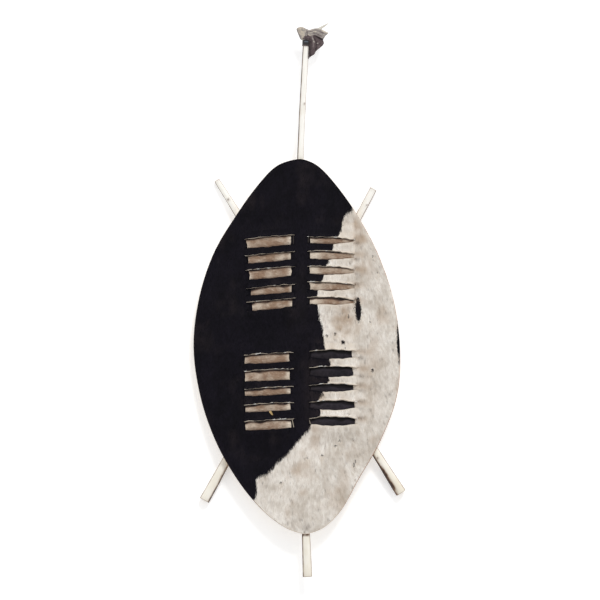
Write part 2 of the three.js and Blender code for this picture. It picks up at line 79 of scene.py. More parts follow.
def linear(colour: Colour) -> tuple[float, float, float, float]:
    """A colour as light, from its three bytes as seen on a screen."""

    def one(byte: float) -> float:
        share = byte / 255
        return share / 12.92 if share <= 0.04045 else ((share + 0.055) / 1.055) ** 2.4

    return one(colour[0]), one(colour[1]), one(colour[2]), 1.0


def mix(first: np.ndarray, second: np.ndarray, share: np.ndarray) -> np.ndarray:
    """The value at a share of the way from first to second."""
    return first + (second - first) * share


def smooth(share: np.ndarray) -> np.ndarray:
    """A share from 0 to 1 eased at both ends."""
    held = np.clip(share, 0, 1)
    return held * held * (3 - 2 * held)


def bell(*away: np.ndarray) -> np.ndarray:
    """Falls from 1 towards 0 with the distance away, given along one axis or more."""
    return np.exp(-sum(np.square(part) for part in away))


def spline(
    before: np.ndarray, here: np.ndarray, ahead: np.ndarray, beyond: np.ndarray, share: np.ndarray
) -> np.ndarray:
    """The place at a share of the way from here to ahead, on the smooth curve through all four points."""
    leaving, arriving = (ahead - before) / 2, (beyond - here) / 2
    cubic = (2 * here - 2 * ahead + leaving + arriving) * share**3
    square = (-3 * here + 3 * ahead - 2 * leaving - arriving) * share**2
    return cubic + square + leaving * share + here


def lattice(x: np.ndarray, y: np.ndarray, seed: int) -> np.ndarray:
    """Soft noise from -1 to 1 over a plane.

    Args:
        x: Places across, with one random value at each whole number.
        y: Places along, with one random value at each whole number.
        seed: Picks the random values.

    Returns:
        The noise at each place.
    """
    column, row = np.floor(x).astype(np.int64), np.floor(y).astype(np.int64)

    def value(i: np.ndarray, j: np.ndarray) -> np.ndarray:
        mixed = (i * 374761393 + j * 668265263 + seed * 974634777) & 0xFFFFFFFF
        mixed = ((mixed ^ (mixed >> 13)) * 1274126177) & 0xFFFFFFFF
        return ((mixed ^ (mixed >> 16)) & 0xFFFF) / 32767.5 - 1

    across, along = smooth(x - column), smooth(y - row)
    upper = mix(value(column, row), value(column + 1, row), across)
    lower = mix(value(column, row + 1), value(column + 1, row + 1), across)
    return mix(upper, lower, along)


def deselect() -> None:
    """Leaves object mode with nothing selected."""
    if bpy.context.object and bpy.context.object.mode != "OBJECT":
        bpy.ops.object.mode_set(mode="OBJECT")
    bpy.ops.object.select_all(action="DESELECT")


def select_only(thing: bpy.types.Object) -> None:
    """Makes one object the only selected one, and the active one."""
    deselect()
    thing.select_set(True)
    bpy.context.view_layer.objects.active = thing


def round_off(thing: bpy.types.Object, degrees: float) -> None:
    """Makes faces that meet at less than this many degrees look rounded."""
    select_only(thing)
    bpy.ops.object.shade_smooth_by_angle(angle=math.radians(degrees))


# Where things are

# Millimetres to a pixel of the photograph
PIXEL = 2.4


@dataclass(frozen=True)
class Place:
    """Carries points from the maker's frame to the row frame."""

    right: float
    up: float

    @classmethod
    def on_hide(cls, node: bpy.types.Object) -> "Place":
        """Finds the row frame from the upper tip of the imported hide."""
        points = np.array([v.co for v in node.data.vertices]) * 1000
        tip = points[points[:, 1].argmax()]
        return cls(float(tip[0]) + HideShape.lean / 2, float(tip[1]) - HideShape.length / 2)

    def row(self, points: np.ndarray) -> np.ndarray:
        """The points in metres in the row frame."""
        return (np.asarray(points) + np.array([self.right, self.up, 0.0])) / 1000


# Meshes


def net(rows: int, lines: int, ring: bool = False, loop: bool = False, down: bool = False) -> list[Face]:
    """The faces over a grid of points.

    Args:
        rows: The grid's rows.
        lines: The points in each row.
        ring: Whether each row is a ring.
        loop: Whether the last row joins the first.
        down: Whether each face goes round by way of the next row first.

    Returns:
        The faces, row by row.
    """
    faces = []
    for row in range(rows if loop else rows - 1):
        here, there = row * lines, (row + 1) % rows * lines
        for line in range(lines if ring else lines - 1):
            turn = (line + 1) % lines
            second, last = (there + line, here + turn) if down else (here + turn, there + line)
            faces.append((here + line, second, there + turn, last))
    return faces


def flipped(faces: list[Face]) -> list[Face]:
    """The same faces, pointing the other way."""
    return [face[::-1] for face in faces]


def moved_on(faces: list[Face], count: int) -> list[Face]:
    """The same faces over points that stand this much later in the list."""
    return [tuple(index + count for index in face) for face in faces]


def rim_of(faces: list[Face]) -> list[tuple[int, int]]:
    """The start and end of each edge that has one face only, in that face's order."""
    edges = [edge for face in faces for edge in zip(face, face[1:] + face[:1])]
    turned = {edge[::-1] for edge in edges}
    return [edge for edge in edges if edge not in turned]


def closed_sheet(front: np.ndarray, back: np.ndarray, faces: list[Face]) -> tuple[np.ndarray, list[Face]]:
    """Joins a sheet's front and back along its rim.

    Args:
        front: The front's points.
        back: The back's, in the same order.
        faces: The front's faces.

    Returns:
        All its points, and its faces: the front's first, then the back's and the rim's.
    """
    total = len(front)
    rim = [(end, start, start + total, end + total) for start, end in rim_of(faces)]
    return np.vstack([front, back]), faces + moved_on(flipped(faces), total) + rim


def on_grid(
    grid: np.ndarray, row: np.ndarray, line: np.ndarray, down: np.ndarray, across: np.ndarray
) -> np.ndarray:
    """Points on a grid's cells, each at its shares down and across its cell."""
    upper = mix(grid[row, line], grid[row, line + 1], across[:, None])
    lower = mix(grid[row + 1, line], grid[row + 1, line + 1], across[:, None])
    return mix(upper, lower, down[:, None])


def keep_values(mesh: bpy.types.Mesh, values: dict[str, np.ndarray]) -> None:
    """Keeps a number at each point of a mesh, by name, for its finishes."""
    for key, value in values.items():
        layer = mesh.attributes.new(key, "FLOAT", "POINT")
        layer.data.foreach_set("value", np.asarray(value, dtype=np.float32))


def make_mesh(
    name: str,
    points: np.ndarray,
    faces: list[Face],
    finishes: list[bpy.types.Material],
    indices: list[int] | None = None,
    values: dict[str, np.ndarray] | None = None,
    smooth_angle: float | None = 60.0,
) -> bpy.types.Object:
    """Makes an object at the origin from points and faces.

    Args:
        name: The piece's name.
        points: Its points in metres.
        faces: Its faces, pointing outwards.
        finishes: Its finishes.
        indices: The finish of each face.
        values: A number at each point, by name, for its finishes.
        smooth_angle: Faces that meet at less than this many degrees look rounded; none if it is None.

    Returns:
        The object, linked to the scene.
    """
    mesh = bpy.data.meshes.new(name)
    mesh.from_pydata(points.tolist(), [], faces)
    for finish in finishes:
        mesh.materials.append(finish)
    if indices is not None:
        mesh.polygons.foreach_set("material_index", indices)
    keep_values(mesh, values or {})
    mesh.update()
    thing = bpy.data.objects.new(name, mesh)
    bpy.context.scene.collection.objects.link(thing)
    if smooth_angle is not None:
        round_off(thing, smooth_angle)
    return thing


def settle(thing: bpy.types.Object, slot: str, *nodes: str) -> bpy.types.Object:
    """Fixes a finished piece to the shield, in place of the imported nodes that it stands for."""
    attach(thing, "root")
    if nodes:
        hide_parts(*nodes)
    log.info("%s: %d faces", thing.name, len(thing.data.polygons))
    return thing


# Finishes


class Wire:
    """A socket of a material, on which arithmetic adds Math nodes."""

    def __init__(self, finish: "Finish", socket: bpy.types.NodeSocket) -> None:
        """Keeps the finish that the socket belongs to."""
        self.finish = finish
        self.socket = socket

    def math(self, operation: str, first: object, second: object = 0.0, held: bool = False) -> "Wire":
        """The outcome of one Math node."""
        settings = {"operation": operation, "use_clamp": held}
        return self.finish.node("ShaderNodeMath", settings, {0: first, 1: second})

    def __add__(self, other: object) -> "Wire":
        """The sum."""
        return self.math("ADD", self, other)

    __radd__ = __add__

    def __sub__(self, other: object) -> "Wire":
        """The difference."""
        return self.math("SUBTRACT", self, other)

    def __rsub__(self, other: object) -> "Wire":
        """The difference from a number."""
        return self.math("SUBTRACT", other, self)

    def __mul__(self, other: object) -> "Wire":
        """The product."""
        return self.math("MULTIPLY", self, other)

    __rmul__ = __mul__

    def clamp(self) -> "Wire":
        """The value held between 0 and 1."""
        return self.math("ADD", self, 0.0, True)

    def between(self, low: float, high: float) -> "Wire":
        """Runs from 0 to 1 as the value goes from low to high."""
        settings = {"interpolation_type": "SMOOTHSTEP"}
        return self.finish.node("ShaderNodeMapRange", settings, {0: self, 1: low, 2: high, 3: 0.0, 4: 1.0})


class Finish:
    """One material, built node by node."""

    def __init__(self, name: str) -> None:
        """Starts an empty material of this name."""
        self.material = bpy.data.materials.new(name)
        self.material.use_nodes = True
        self.tree = self.material.node_tree
        self.tree.nodes.clear()
        self.place = Wire(self, self.tree.nodes.new("ShaderNodeTexCoord").outputs["Object"])

    def node(
        self, kind: str, settings: dict[str, object], inputs: dict[object, object], out: object = 0
    ) -> Wire:
        """Adds a node.

        Args:
            kind: Its type.
            settings: Its own settings, set before its sockets; stops are a ramp's colours.
            inputs: Values or wires for its sockets, by name or number.
            out: The output socket wanted.

        Returns:
            That output socket.
        """
        made = self.tree.nodes.new(kind)
        for key, value in settings.items():
            if key == "stops":
                ramp = made.color_ramp
                while len(ramp.elements) < len(value):
                    ramp.elements.new(0.5)
                for element, (position, colour) in zip(ramp.elements, value):
                    element.position, element.color = position, linear(colour)
            else:
                setattr(made, key, value)
        for key, value in inputs.items():
            if isinstance(value, Wire):
                self.tree.links.new(value.socket, made.inputs[key])
            else:
                made.inputs[key].default_value = value
        return Wire(self, made.outputs[out])

    def value(self, name: str) -> Wire:
        """A number kept at each point of the piece."""
        return self.node("ShaderNodeAttribute", {"attribute_name": name}, {}, "Fac")

    def stretched(self, x: float, y: float, z: float) -> Wire:
        """The place on the piece with each axis scaled."""
        return self.node("ShaderNodeMapping", {}, {"Vector": self.place, "Scale": (x, y, z)})

    def noise(self, scale: float, detail: float = 3.0, where: Wire | None = None) -> Wire:
        """Noise from 0 to 1, with scale bumps to the metre."""
        inputs = {"Vector": where or self.place, "Scale": scale, "Detail": detail, "Roughness": 0.6}
        return self.node("ShaderNodeTexNoise", {}, inputs)

    def cells(self, scale: float, where: Wire | None = None) -> Wire:
        """The distance to the nearest of scattered spots, scale of them to the metre."""
        inputs = {"Vector": where or self.place, "Scale": scale}
        return self.node("ShaderNodeTexVoronoi", {}, inputs, "Distance")

    def blend(self, first: Wire | Colour, second: Wire | Colour, share: Wire) -> Wire:
        """A colour between two colours."""
        ends = [end if isinstance(end, Wire) else linear(end) for end in (first, second)]
        return self.node("ShaderNodeMix", {"data_type": "RGBA"}, {0: share, 6: ends[0], 7: ends[1]}, 2)

    def bump(self, height: Wire, distance: float, strength: float = 1.0) -> Wire:
        """A normal from a height, whose whole range stands this many metres high."""
        return self.node("ShaderNodeBump", {}, {"Height": height, "Distance": distance, "Strength": strength})

    def skin(
        self, colour: Wire | Colour, roughness: Wire | float, normal: Wire | None = None, **fixed: object
    ) -> bpy.types.Material:
        """Ends the material in one surface.

        Args:
            colour: Its colour.
            roughness: Its roughness.
            normal: Its bumps.
            **fixed: Other sockets, with underscores for spaces.

        Returns:
            The material.
        """
        shown = colour if isinstance(colour, Wire) else linear(colour)
        inputs = {"Base Color": shown, "Roughness": roughness} | ({"Normal": normal} if normal else {})
        inputs |= {key.replace("_", " "): value for key, value in fixed.items()}
        surface = self.node("ShaderNodeBsdfPrincipled", {}, inputs)
        output = self.tree.nodes.new("ShaderNodeOutputMaterial")
        self.tree.links.new(surface.socket, output.inputs["Surface"])
        return self.material


@dataclass(frozen=True)
class HairedHide:
    """Black and white hair, as it looks close to the skin."""

    black: Colour = (13, 12, 17)
    white: Colour = (226, 217, 205)
    shade: Colour = (190, 175, 158)
    tan: Colour = (178, 150, 122)
    soil: Colour = (104, 82, 66)

    def make(self) -> bpy.types.Material:
        """The material of the hide's hair side."""
        finish = Finish("black_and_white_hair")
        streaks = finish.noise(260, 4, finish.stretched(1, 0.09, 1))
        fine = finish.noise(900, 2, finish.stretched(1, 0.06, 1))
        patches = finish.noise(16, 3)
        ragged = finish.noise(90, 3, finish.stretched(1, 0.4, 1)) - 0.5
        whiteness = (finish.value("whiteness") + ragged * 9).between(-1.6, 1.6)
        mottled = finish.blend(self.white, self.shade, (patches * 1.1 - 0.35).clamp() * 0.5)
        warm = finish.blend(mottled, self.tan, finish.value("warmth") * (0.35 + 0.5 * streaks))
        dull = finish.blend(warm, self.shade, (fine * 1.4 - 0.55).clamp() * 0.45)
        white = finish.blend(dull, self.soil, finish.value("soil"))
        dark = finish.blend(self.black, (26, 22, 32), (streaks * 1.6 - 0.6).clamp())
        colour = finish.blend(dark, white, whiteness)
        height = streaks * 0.6 + fine * 0.4
        return finish.skin(colour, 0.7, finish.bump(height, 0.0012, 0.5), Specular_IOR_Level=0.06)


@dataclass(frozen=True)
class Hairs:
    """Single hairs, from their roots to their tips."""

    name: str
    root: Colour
    tip: Colour
    warm: Colour
    roughness: float = 0.5
    gloss: float = 0.35
    soil: Colour = (96, 76, 62)

    def make(self) -> bpy.types.Material:
        """The material of one colour of hair."""
        finish = Finish(self.name)
        along = finish.blend(self.root, self.tip, finish.value("tone"))
        stained = finish.blend(along, self.warm, finish.value("warmth"))
        # On the hair-side lace this blends in the painted shadow under the lips; on the hide it is dirt
        colour = finish.blend(stained, self.soil, finish.value("soil"))
        return finish.skin(colour, self.roughness, Specular_IOR_Level=self.gloss)


@dataclass(frozen=True)
class Rawhide:
    """The flesh side of hide and its cut edges."""

    name: str
    pale: Colour
    deep: Colour
    stain: Colour
    stained: float = 0.5
    # How white the raised beads of a lip are
    glint: float = 0.0

    def make(self) -> bpy.types.Material:
        """The material of bare dry hide."""
        finish = Finish(self.name)
        broad = finish.noise(22, 4)
        fibres = finish.noise(420, 4, finish.stretched(1, 0.35, 1))
        pores = finish.cells(1400)
        base = finish.blend(self.pale, self.deep, (broad * 1.6 - 0.3).clamp())
        marked = finish.blend(base, self.stain, (finish.noise(48, 5) * 3.2 - 1.9).clamp() * self.stained)
        worn = finish.blend(marked, self.deep, (fibres * 1.5 - 0.6).clamp() * 0.5)
        colour = finish.blend(worn, (255, 253, 248), finish.value("bead").between(0.1, 0.8) * self.glint)
        bumps = finish.bump(fibres * 0.6 + broad * 0.8 + pores * 0.2, 0.0009, 0.7)
        return finish.skin(colour, 0.72 + 0.12 * fibres, bumps, Specular_IOR_Level=0.3)


@dataclass(frozen=True)
class CutEdge:
    """The hide's cut edge: brown beside the white hair and nearly black beside the black."""

    brown: Colour = (150, 108, 84)
    dark: Colour = (52, 42, 40)

    def make(self) -> bpy.types.Material:
        """The material of the outline's rim."""
        finish = Finish("cut_edge")
        beside = finish.value("whiteness").between(-4, 4)
        uneven = finish.noise(160, 3)
        brown = finish.blend(self.brown, (206, 184, 160), (uneven * 2.4 - 1.1).clamp())
        colour = finish.blend(self.dark, brown, beside)
        return finish.skin(colour, 0.75, finish.bump(uneven, 0.0006, 0.6), Specular_IOR_Level=0.2)


@dataclass(frozen=True)
class LaceHide:
    """A lace's worn flesh side, bright where it goes down towards the hide's middle, with painted shadow
    under the lips and painted shade in its creases.
    """

    pale: Colour = (222, 208, 190)
    base: Colour = (150, 123, 102)
    dark: Colour = (98, 76, 64)
    deep: Colour = (30, 22, 22)

    def make(self) -> bpy.types.Material:
        """The material of a lace."""
        finish = Finish("lace_flesh_side")
        wrinkles = finish.noise(150, 5, finish.stretched(0.7, 1.5, 1))
        fibres = finish.noise(620, 3, finish.stretched(0.3, 1, 1))
        cloud = finish.noise(42, 3)
        shadow = finish.value("shadow")
        bright = (finish.value("brightness") + (cloud - 0.5) * 1.7).clamp()
        worn = finish.blend(self.base, self.pale, bright)
        # Painted shade in the wrinkles' hollows and painted highlight on their ridges, following the bumps'
        # own heights
        crease_shaded = finish.blend(worn, self.dark, (1.3 - wrinkles * 2.6).clamp() * 0.85)
        lit = finish.blend(crease_shaded, self.pale, (wrinkles * 5 - 2.9).clamp() * 0.8)
        # Painted shadow under the lip over each stretch, near black close to it
        lip_shadowed = finish.blend(lit, self.dark, (shadow * 1.8).clamp())
        dark = finish.blend(lip_shadowed, self.deep, (shadow * 2.4 - 1.0).clamp())
        colour = finish.blend(dark, self.dark, (fibres * 1.6 - 0.75).clamp() * 0.4)
        height = wrinkles * 1.0 + fibres * 0.25
        return finish.skin(colour, 0.7, finish.bump(height, 0.003, 0.9), Specular_IOR_Level=0.3)


@dataclass(frozen=True)
class PeeledWood:
    """A peeled branch: cream, with long grain, small knots, brown where the bark has left a trace, and
    painted shade along its sides.
    """

    cream: Colour = (255, 253, 248)
    straw: Colour = (224, 214, 192)
    brown: Colour = (122, 92, 66)
    bark: Colour = (62, 44, 34)

    def make(self) -> bpy.types.Material:
        """The material of a stick's sides, whose points say how far along and round the stick they are."""
        finish = Finish("peeled_wood")
        along, around = finish.value("along"), finish.value("around")
        grain_at = finish.node("ShaderNodeCombineXYZ", {}, {0: around * 0.9, 1: along * 0.035})
        grain = finish.noise(1, 4, grain_at)
        flecked_at = finish.node("ShaderNodeCombineXYZ", {}, {0: around * 0.3, 1: along * 0.09, 2: 3.0})
        fleck = finish.noise(1, 3, flecked_at)
        broad = finish.noise(14, 3)
        down_the_shield_tint = finish.value("age")
        pale = finish.blend(self.cream, self.straw, (broad * 1.5 - 0.75 + down_the_shield_tint * 0.45).clamp())
        grained = finish.blend(pale, self.straw, (grain * 2.4 - 1.0).clamp() * 0.6)
        flecked = finish.blend(grained, self.brown, (fleck * 6 - 4.3).clamp() * 0.5)
        knotted = finish.blend(flecked, self.brown, finish.value("knot"))
        # Bark traces, painted shade along the sides and the painted shadow under the hide's tip
        bark_and_shade_mask = finish.value("bark") + (finish.noise(90, 4) - 0.5) * 0.5 * finish.value("bark")
        browned_and_shaded = finish.blend(knotted, self.brown, (bark_and_shade_mask * 1.6).clamp())
        colour = finish.blend(browned_and_shaded, self.bark, (bark_and_shade_mask * 2.2 - 1.0).clamp())
        bumps = finish.bump(grain * 0.7 + broad * 0.5, 0.0006, 0.6)
        return finish.skin(colour, 0.5 + 0.2 * grain, bumps, Specular_IOR_Level=0.35)


@dataclass(frozen=True)
class SawnEnd:
    """End grain: rings about the pith, and a darker rim."""

    def make(self) -> bpy.types.Material:
        """The material of a stick's two ends."""
        finish = Finish("sawn_end")
        out = finish.value("around")
        wave = finish.noise(160, 2)
        rings = out.math("SINE", out * 34 + wave * 5)
        base = finish.blend((206, 186, 156), (166, 138, 106), (rings * 0.5 + 0.5).clamp() * 0.6)
        colour = finish.blend(base, (112, 84, 60), out.between(0.72, 1.0) * 0.8)
        bumps = finish.bump(rings * 0.3 + finish.noise(1800, 2), 0.0005)
        return finish.skin(colour, 0.8, bumps, Specular_IOR_Level=0.2)


@dataclass(frozen=True)
class Thong:
    """Twisted dry thong."""

    name: str
    pale: Colour
    deep: Colour

    def make(self) -> bpy.types.Material:
        """The material of a cord."""
        finish = Finish(self.name)
        fibres = finish.noise(1300, 3)
        broad = finish.noise(60, 2)
        base = finish.blend(self.pale, self.deep, (broad * 1.8 - 0.5).clamp())
        # Painted shade in the grooves between the plies
        colour = finish.blend(base, self.deep, finish.value("groove") * 0.8)
        return finish.skin(colour, 0.6, finish.bump(fibres, 0.0004, 0.6), Specular_IOR_Level=0.4)


@dataclass(frozen=True)
class TuftHide:
    """A worn scrap of hide, whose points say how light it is there, painted highlights and shade included."""

    def make(self) -> bpy.types.Material:
        """The material of the tuft."""
        finish = Finish("tuft_hide")
        creases = finish.noise(300, 4)
        fine = finish.noise(1500, 3)
        # Painted shade in the creases and painted highlight on their ridges, which the bumps also follow
        light = (finish.value("light") + (creases - 0.5) * 0.35).clamp()
        stops = [
            (0.0, (44, 36, 37)),
            (0.35, (96, 82, 84)),
            (0.65, (158, 151, 146)),
            (0.85, (204, 192, 174)),
            (1.0, (222, 219, 210)),
        ]
        colour = finish.node("ShaderNodeValToRGB", {"stops": stops}, {0: light})
        bumps = finish.bump(creases + fine * 0.4, 0.0014, 0.9)
        return finish.skin(colour, 0.75, bumps, Specular_IOR_Level=0.3)


@dataclass(frozen=True)
class BlackBand:
    """A wound black band with a dull shine."""

    def make(self) -> bpy.types.Material:
        """The material of the tuft's binding."""
        finish = Finish("black_band")
        scuffs = finish.noise(420, 3, finish.stretched(0.3, 1.6, 1))
        base = finish.blend((34, 31, 36), (104, 100, 108), (scuffs * 3.2 - 1.9).clamp() * 0.7)
        shining = finish.blend(base, (112, 122, 134), finish.value("sheen"))
        colour = finish.blend(shining, (126, 108, 102), finish.value("worn"))
        bumps = finish.bump(scuffs, 0.0005, 0.5)
        return finish.skin(colour, 0.34 + 0.2 * scuffs, bumps, Specular_IOR_Level=0.5)


# The sticks


@dataclass(frozen=True)
class Stick:
    """One stick. Shares run from 0 at its thin upper end to 1 at its butt."""

    name: str
    length: float
    crossing_share: float
    lean: float
    offset: float
    bow: float
    wave: float
    girth_shares: tuple[float, ...]
    girths: tuple[float, ...]
    heights: tuple[float, float, float]
    # Each knot's share along, angle round from the stick's left side by way of its top, and size
    knots: tuple[tuple[float, float, float], ...] = ()
    # Bark traces and painted shade along the sides: its start and end, -1 for left or 1 for right, its reach
    # in and strength
    bark: tuple[tuple[float, float, int, float, float], ...] = ()
    crossing: tuple[float, float] = (1.1, 49.5)
    sides: int = 32
    # The sides are cut into this many rows, and then each row again
    cuts: tuple[int, int] = (60, 3)
    # How uneven the sides are, broadly and finely, as shares of the radius
    uneven: tuple[float, float] = (0.02, 0.012)
    # How far a knot stands out, and how dark its heart and the ring round it are
    knot_swell: float = 0.13
    knot_heart: float = 0.85
    knot_ring: float = 0.25
    rim_reach: float = 1.5
    end_bevel: float = 0.7
    end_rings: tuple[float, ...] = (0.05, 0.2, 0.4)

    def radius(self, share: np.ndarray) -> np.ndarray:
        """Half its thickness at a share of its length."""
        return np.interp(share, self.girth_shares, self.girths) / 2

    def sway(self, share: np.ndarray) -> np.ndarray:
        """How far its bow and wave carry it to the right."""
        return self.bow * np.sin(math.pi * share) + self.wave * np.sin(2 * math.pi * share)

    def share_at(self, y: np.ndarray) -> np.ndarray:
        """The share of its length at this place up the shield."""
        run = self.length * math.cos(math.radians(self.lean))
        return self.crossing_share + (self.crossing[1] - y) / run

    def axis(self, share: np.ndarray) -> np.ndarray:
        """The middle of the stick at each share of its length."""
        share = np.asarray(share, dtype=float)
        past = share - self.crossing_share
        along = past * self.length
        upper = past < 0
        away = np.where(upper, -past / self.crossing_share, past / (1 - self.crossing_share))
        crossing, tip, butt = self.heights
        lean = math.radians(self.lean)
        x = self.crossing[0] + self.offset + along * math.sin(lean)
        x = x + self.sway(share) - self.sway(self.crossing_share)
        y = self.crossing[1] - along * math.cos(lean)
        z = mix(crossing, np.where(upper, tip, butt), away * away)
        return np.stack([x, y, z], axis=-1)

    def frames(self, share: np.ndarray) -> tuple[np.ndarray, np.ndarray]:
        """The directions across and up at each share."""
        step = 1e-3
        tangent = self.axis(share + step) - self.axis(share - step)
        tangent /= np.linalg.norm(tangent, axis=-1, keepdims=True)
        across = np.cross(tangent, [0.0, 0.0, 1.0])
        across /= np.linalg.norm(across, axis=-1, keepdims=True)
        return across, np.cross(across, tangent)

    def around(self, share: np.ndarray, angle: np.ndarray, reach: np.ndarray | float) -> np.ndarray:
        """Points round the stick's middle, each at its own angle and reach."""
        across, outward = self.frames(share)
        aside, out = (reach * np.cos(angle))[:, None], (reach * np.sin(angle))[:, None]
        return self.axis(share) + across * aside + outward * out

    def bark_and_shade_at(self, share: np.ndarray, angle: np.ndarray, rough: np.ndarray) -> np.ndarray:
        """How much bark trace and painted shade there is at each point, from its share along, its angle round
        and its roughness.
        """
        total = np.zeros(len(share))
        for start, end, side, reach, strength in self.bark:
            aside = -side * np.cos(angle)
            edge = smooth((aside - 1 + reach) / (reach * 0.8))
            fade = min(0.03, (end - start) / 2)
            ease = smooth((share - start) / fade + 0.5) * smooth((end - share) / fade + 0.5)
            total = np.maximum(total, edge * ease * strength * (1 + 0.25 * rough))
        return np.clip(total, 0, 1)

    def build(self, place: Place, wood: bpy.types.Material, end: bpy.types.Material) -> bpy.types.Object:
        """Makes the stick: a cylinder whose sides are cut into rows, which are then laid along the stick's
        own line with its knots and unevenness.

        Args:
            place: Where the maker's frame is.
            wood: The finish of its sides.
            end: The finish of its sawn ends.

        Returns:
            The stick.
        """
        deselect()
        bpy.ops.mesh.primitive_cylinder_add(vertices=self.sides, radius=1, depth=1, location=(0, 0, 0))
        stick = bpy.context.object
        stick.name = stick.data.name = self.name.replace("_stick", "_stick_wood")
        bpy.ops.object.mode_set(mode="EDIT")
        bpy.ops.mesh.select_mode(type="EDGE")
        for cuts in self.cuts:
            shape = bmesh.from_edit_mesh(stick.data)
            for edge in shape.edges:
                edge.select_set(abs(edge.verts[0].co.z - edge.verts[1].co.z) > 1e-4)
            bmesh.update_edit_mesh(stick.data)
            bpy.ops.mesh.subdivide(number_cuts=cuts)
        shape = bmesh.from_edit_mesh(stick.data)
        bpy.ops.mesh.select_mode(type="FACE")
        for face in shape.faces:
            face.select_set(abs(face.normal.z) > 0.9)
        bmesh.update_edit_mesh(stick.data)
        for thickness in self.end_rings:
            bpy.ops.mesh.inset(thickness=thickness)
        self._lay(stick, place)
        for finish in (wood, end):
            stick.data.materials.append(finish)
        round_off(stick, 50)
        return stick

    def _lay(self, stick: bpy.types.Object, place: Place) -> None:
        """Lays the upright cylinder along the stick's line and keeps what its finish needs at each point."""
        bpy.ops.object.mode_set(mode="OBJECT")
        mesh = stick.data
        points = np.array([vertex.co for vertex in mesh.vertices], dtype=float)
        share = points[:, 2] + 0.5
        # Two rows stand close to each end, to keep it crisp
        row = 1 / math.prod(cut + 1 for cut in self.cuts)
        for order, close in ((1, self.end_bevel / self.length), (2, 4 * self.end_bevel / self.length)):
            share = np.where(np.abs(share - order * row) < row / 4, close, share)
            share = np.where(np.abs(share - 1 + order * row) < row / 4, 1 - close, share)
        out = np.hypot(points[:, 0], points[:, 1])
        angle = np.arctan2(points[:, 1], points[:, 0])
        ends = (share < 1e-4) | (share > 1 - 1e-4)
        seed = sum(map(ord, self.name)) % 97
        uneven = self.uneven[0] * lattice(share * 34, angle * 1.3 + 7, seed)
        uneven = uneven + self.uneven[1] * lattice(share * 90, angle * 2, seed + 1)
        swell = np.zeros(len(points))
        dark = np.zeros(len(points))
        for knot_share, knot_angle, size in self.knots:
            turn = np.abs((angle - math.radians(knot_angle) + math.pi) % (2 * math.pi) - math.pi)
            up_it = (share - knot_share) * self.length / (size * 1.1)
            far = np.hypot(up_it, turn * self.radius(share) / size)
            swell += self.knot_swell * bell(far / 1.4)
            dark += self.knot_heart * bell((far / 0.55) ** 2) + self.knot_ring * bell((far - 1) / 0.2236)
        rounded = np.where(ends & (out > 0.99), 1 - self.end_bevel / self.radius(share) * 0.5, 1.0)
        reach = self.radius(share) * out * (1 + (uneven + swell) * np.minimum(out, 1)) * rounded
        laid = self.around(share, angle, reach)
        laid[:, 2] = np.maximum(laid[:, 2], 0.05)
        mesh.vertices.foreach_set("co", place.row(laid).ravel())
        # Laying the cylinder down turns its faces inwards
        mesh.flip_normals()
        rough = lattice(share * 60, angle * 1.5, seed + 2) + lattice(share * 190, angle * 3, seed + 3)
        to_end = np.minimum(share, 1 - share) * self.length
        rim = np.exp(-to_end / self.rim_reach) * (0.75 + 0.25 * rough)
        values = {
            "along": share * self.length,
            "around": np.where(ends, out, angle / math.pi * 30),
            "knot": np.clip(dark + rim, 0, 0.9),
            "bark": self.bark_and_shade_at(share, angle, rough),
            # The wood is drawn more straw-coloured the further down the shield it lies
            "age": np.clip((70 - laid[:, 1]) / 420, 0, 1),
        }
        keep_values(mesh, values)
        for polygon in mesh.polygons:
            polygon.material_index = int(all(ends[vertex] for vertex in polygon.vertices))
        mesh.update()


CENTRE_STICK = Stick(
    "centre_stick", 1301, 0.537, 0.1, -8.9, -19.5, -2.6,
    (0, 0.23, 0.92, 1), (15, 15.4, 19.4, 22.8), (48.003, 40.003, 40.003),
    knots=((0.1276, 122, 3.4), (0.31, 200, 6), (0.42, -70, 5), (0.7, -120, 6)),
    bark=(
        # The third is the painted shadow that the hide's lower tip casts across the stick; the others are
        # bark traces and painted shade along the sides
        (-0.1, 0.3, -1, 0.42, 0.8), (-0.1, 1.1, 1, 0.24, 0.42), (0.9195, 0.9245, -1, 3.5, 0.72),
        (0.9, 1.1, -1, 0.36, 0.66), (0.25, 0.85, -1, 0.5, 0.5),
    ),
)
LEFT_STICK = Stick(
    "crossed_stick_left", 872.5, 0.4655, 30.5, 0, 0, 4.9,
    (0, 0.11, 0.86, 1), (13.7, 17, 20, 26), (30.508, 6.617, 12.557),
    knots=((0.061, 80, 4.5), (0.885, 75, 4), (0.3, -60, 5), (0.66, -110, 6)),
    bark=(
        (-0.1, 1.1, -1, 0.26, 0.6), (-0.1, 1.1, 1, 0.2, 0.5), (0.86, 1.1, -1, 0.6, 0.9),
        (0.91, 0.985, -1, 0.98, 1.0), (0.2, 0.7, 1, 0.6, 0.5),
    ),
)
RIGHT_STICK = Stick(
    "crossed_stick_right", 852.5, 0.4397, -28.5, -5.9, 3.6, 0,
    (0, 0.15, 0.8, 1), (16.8, 17.4, 19.5, 25), (12.456, 8.114, 12.074),
    knots=((0.05, 120, 3), (0.86, 60, 3), (0.37, -80, 5), (0.72, -100, 5)),
    bark=(
        (-0.1, 1.1, -1, 0.22, 0.5), (-0.1, 1.1, 1, 0.3, 0.6), (0.86, 1.1, 1, 0.42, 0.8),
        (0.82, 0.93, 1, 0.62, 0.7), (0.2, 0.6, -1, 0.5, 0.5),
    ),
)
STICKS = [CENTRE_STICK, LEFT_STICK, RIGHT_STICK]


# The hide


class Band(Enum):
    """What a stretch of hide does about the lace."""

    PLAIN = "plain"
    COVER = "over the lace"
    UNDER = "under the lace"


@dataclass(frozen=True)
class Level:
    """One slit, or one line where a lace's tail ends, at one side of the hide."""

    y: float
    slant: float
    gape: float
    above: float
    below: float
    drop: float
    cut: bool


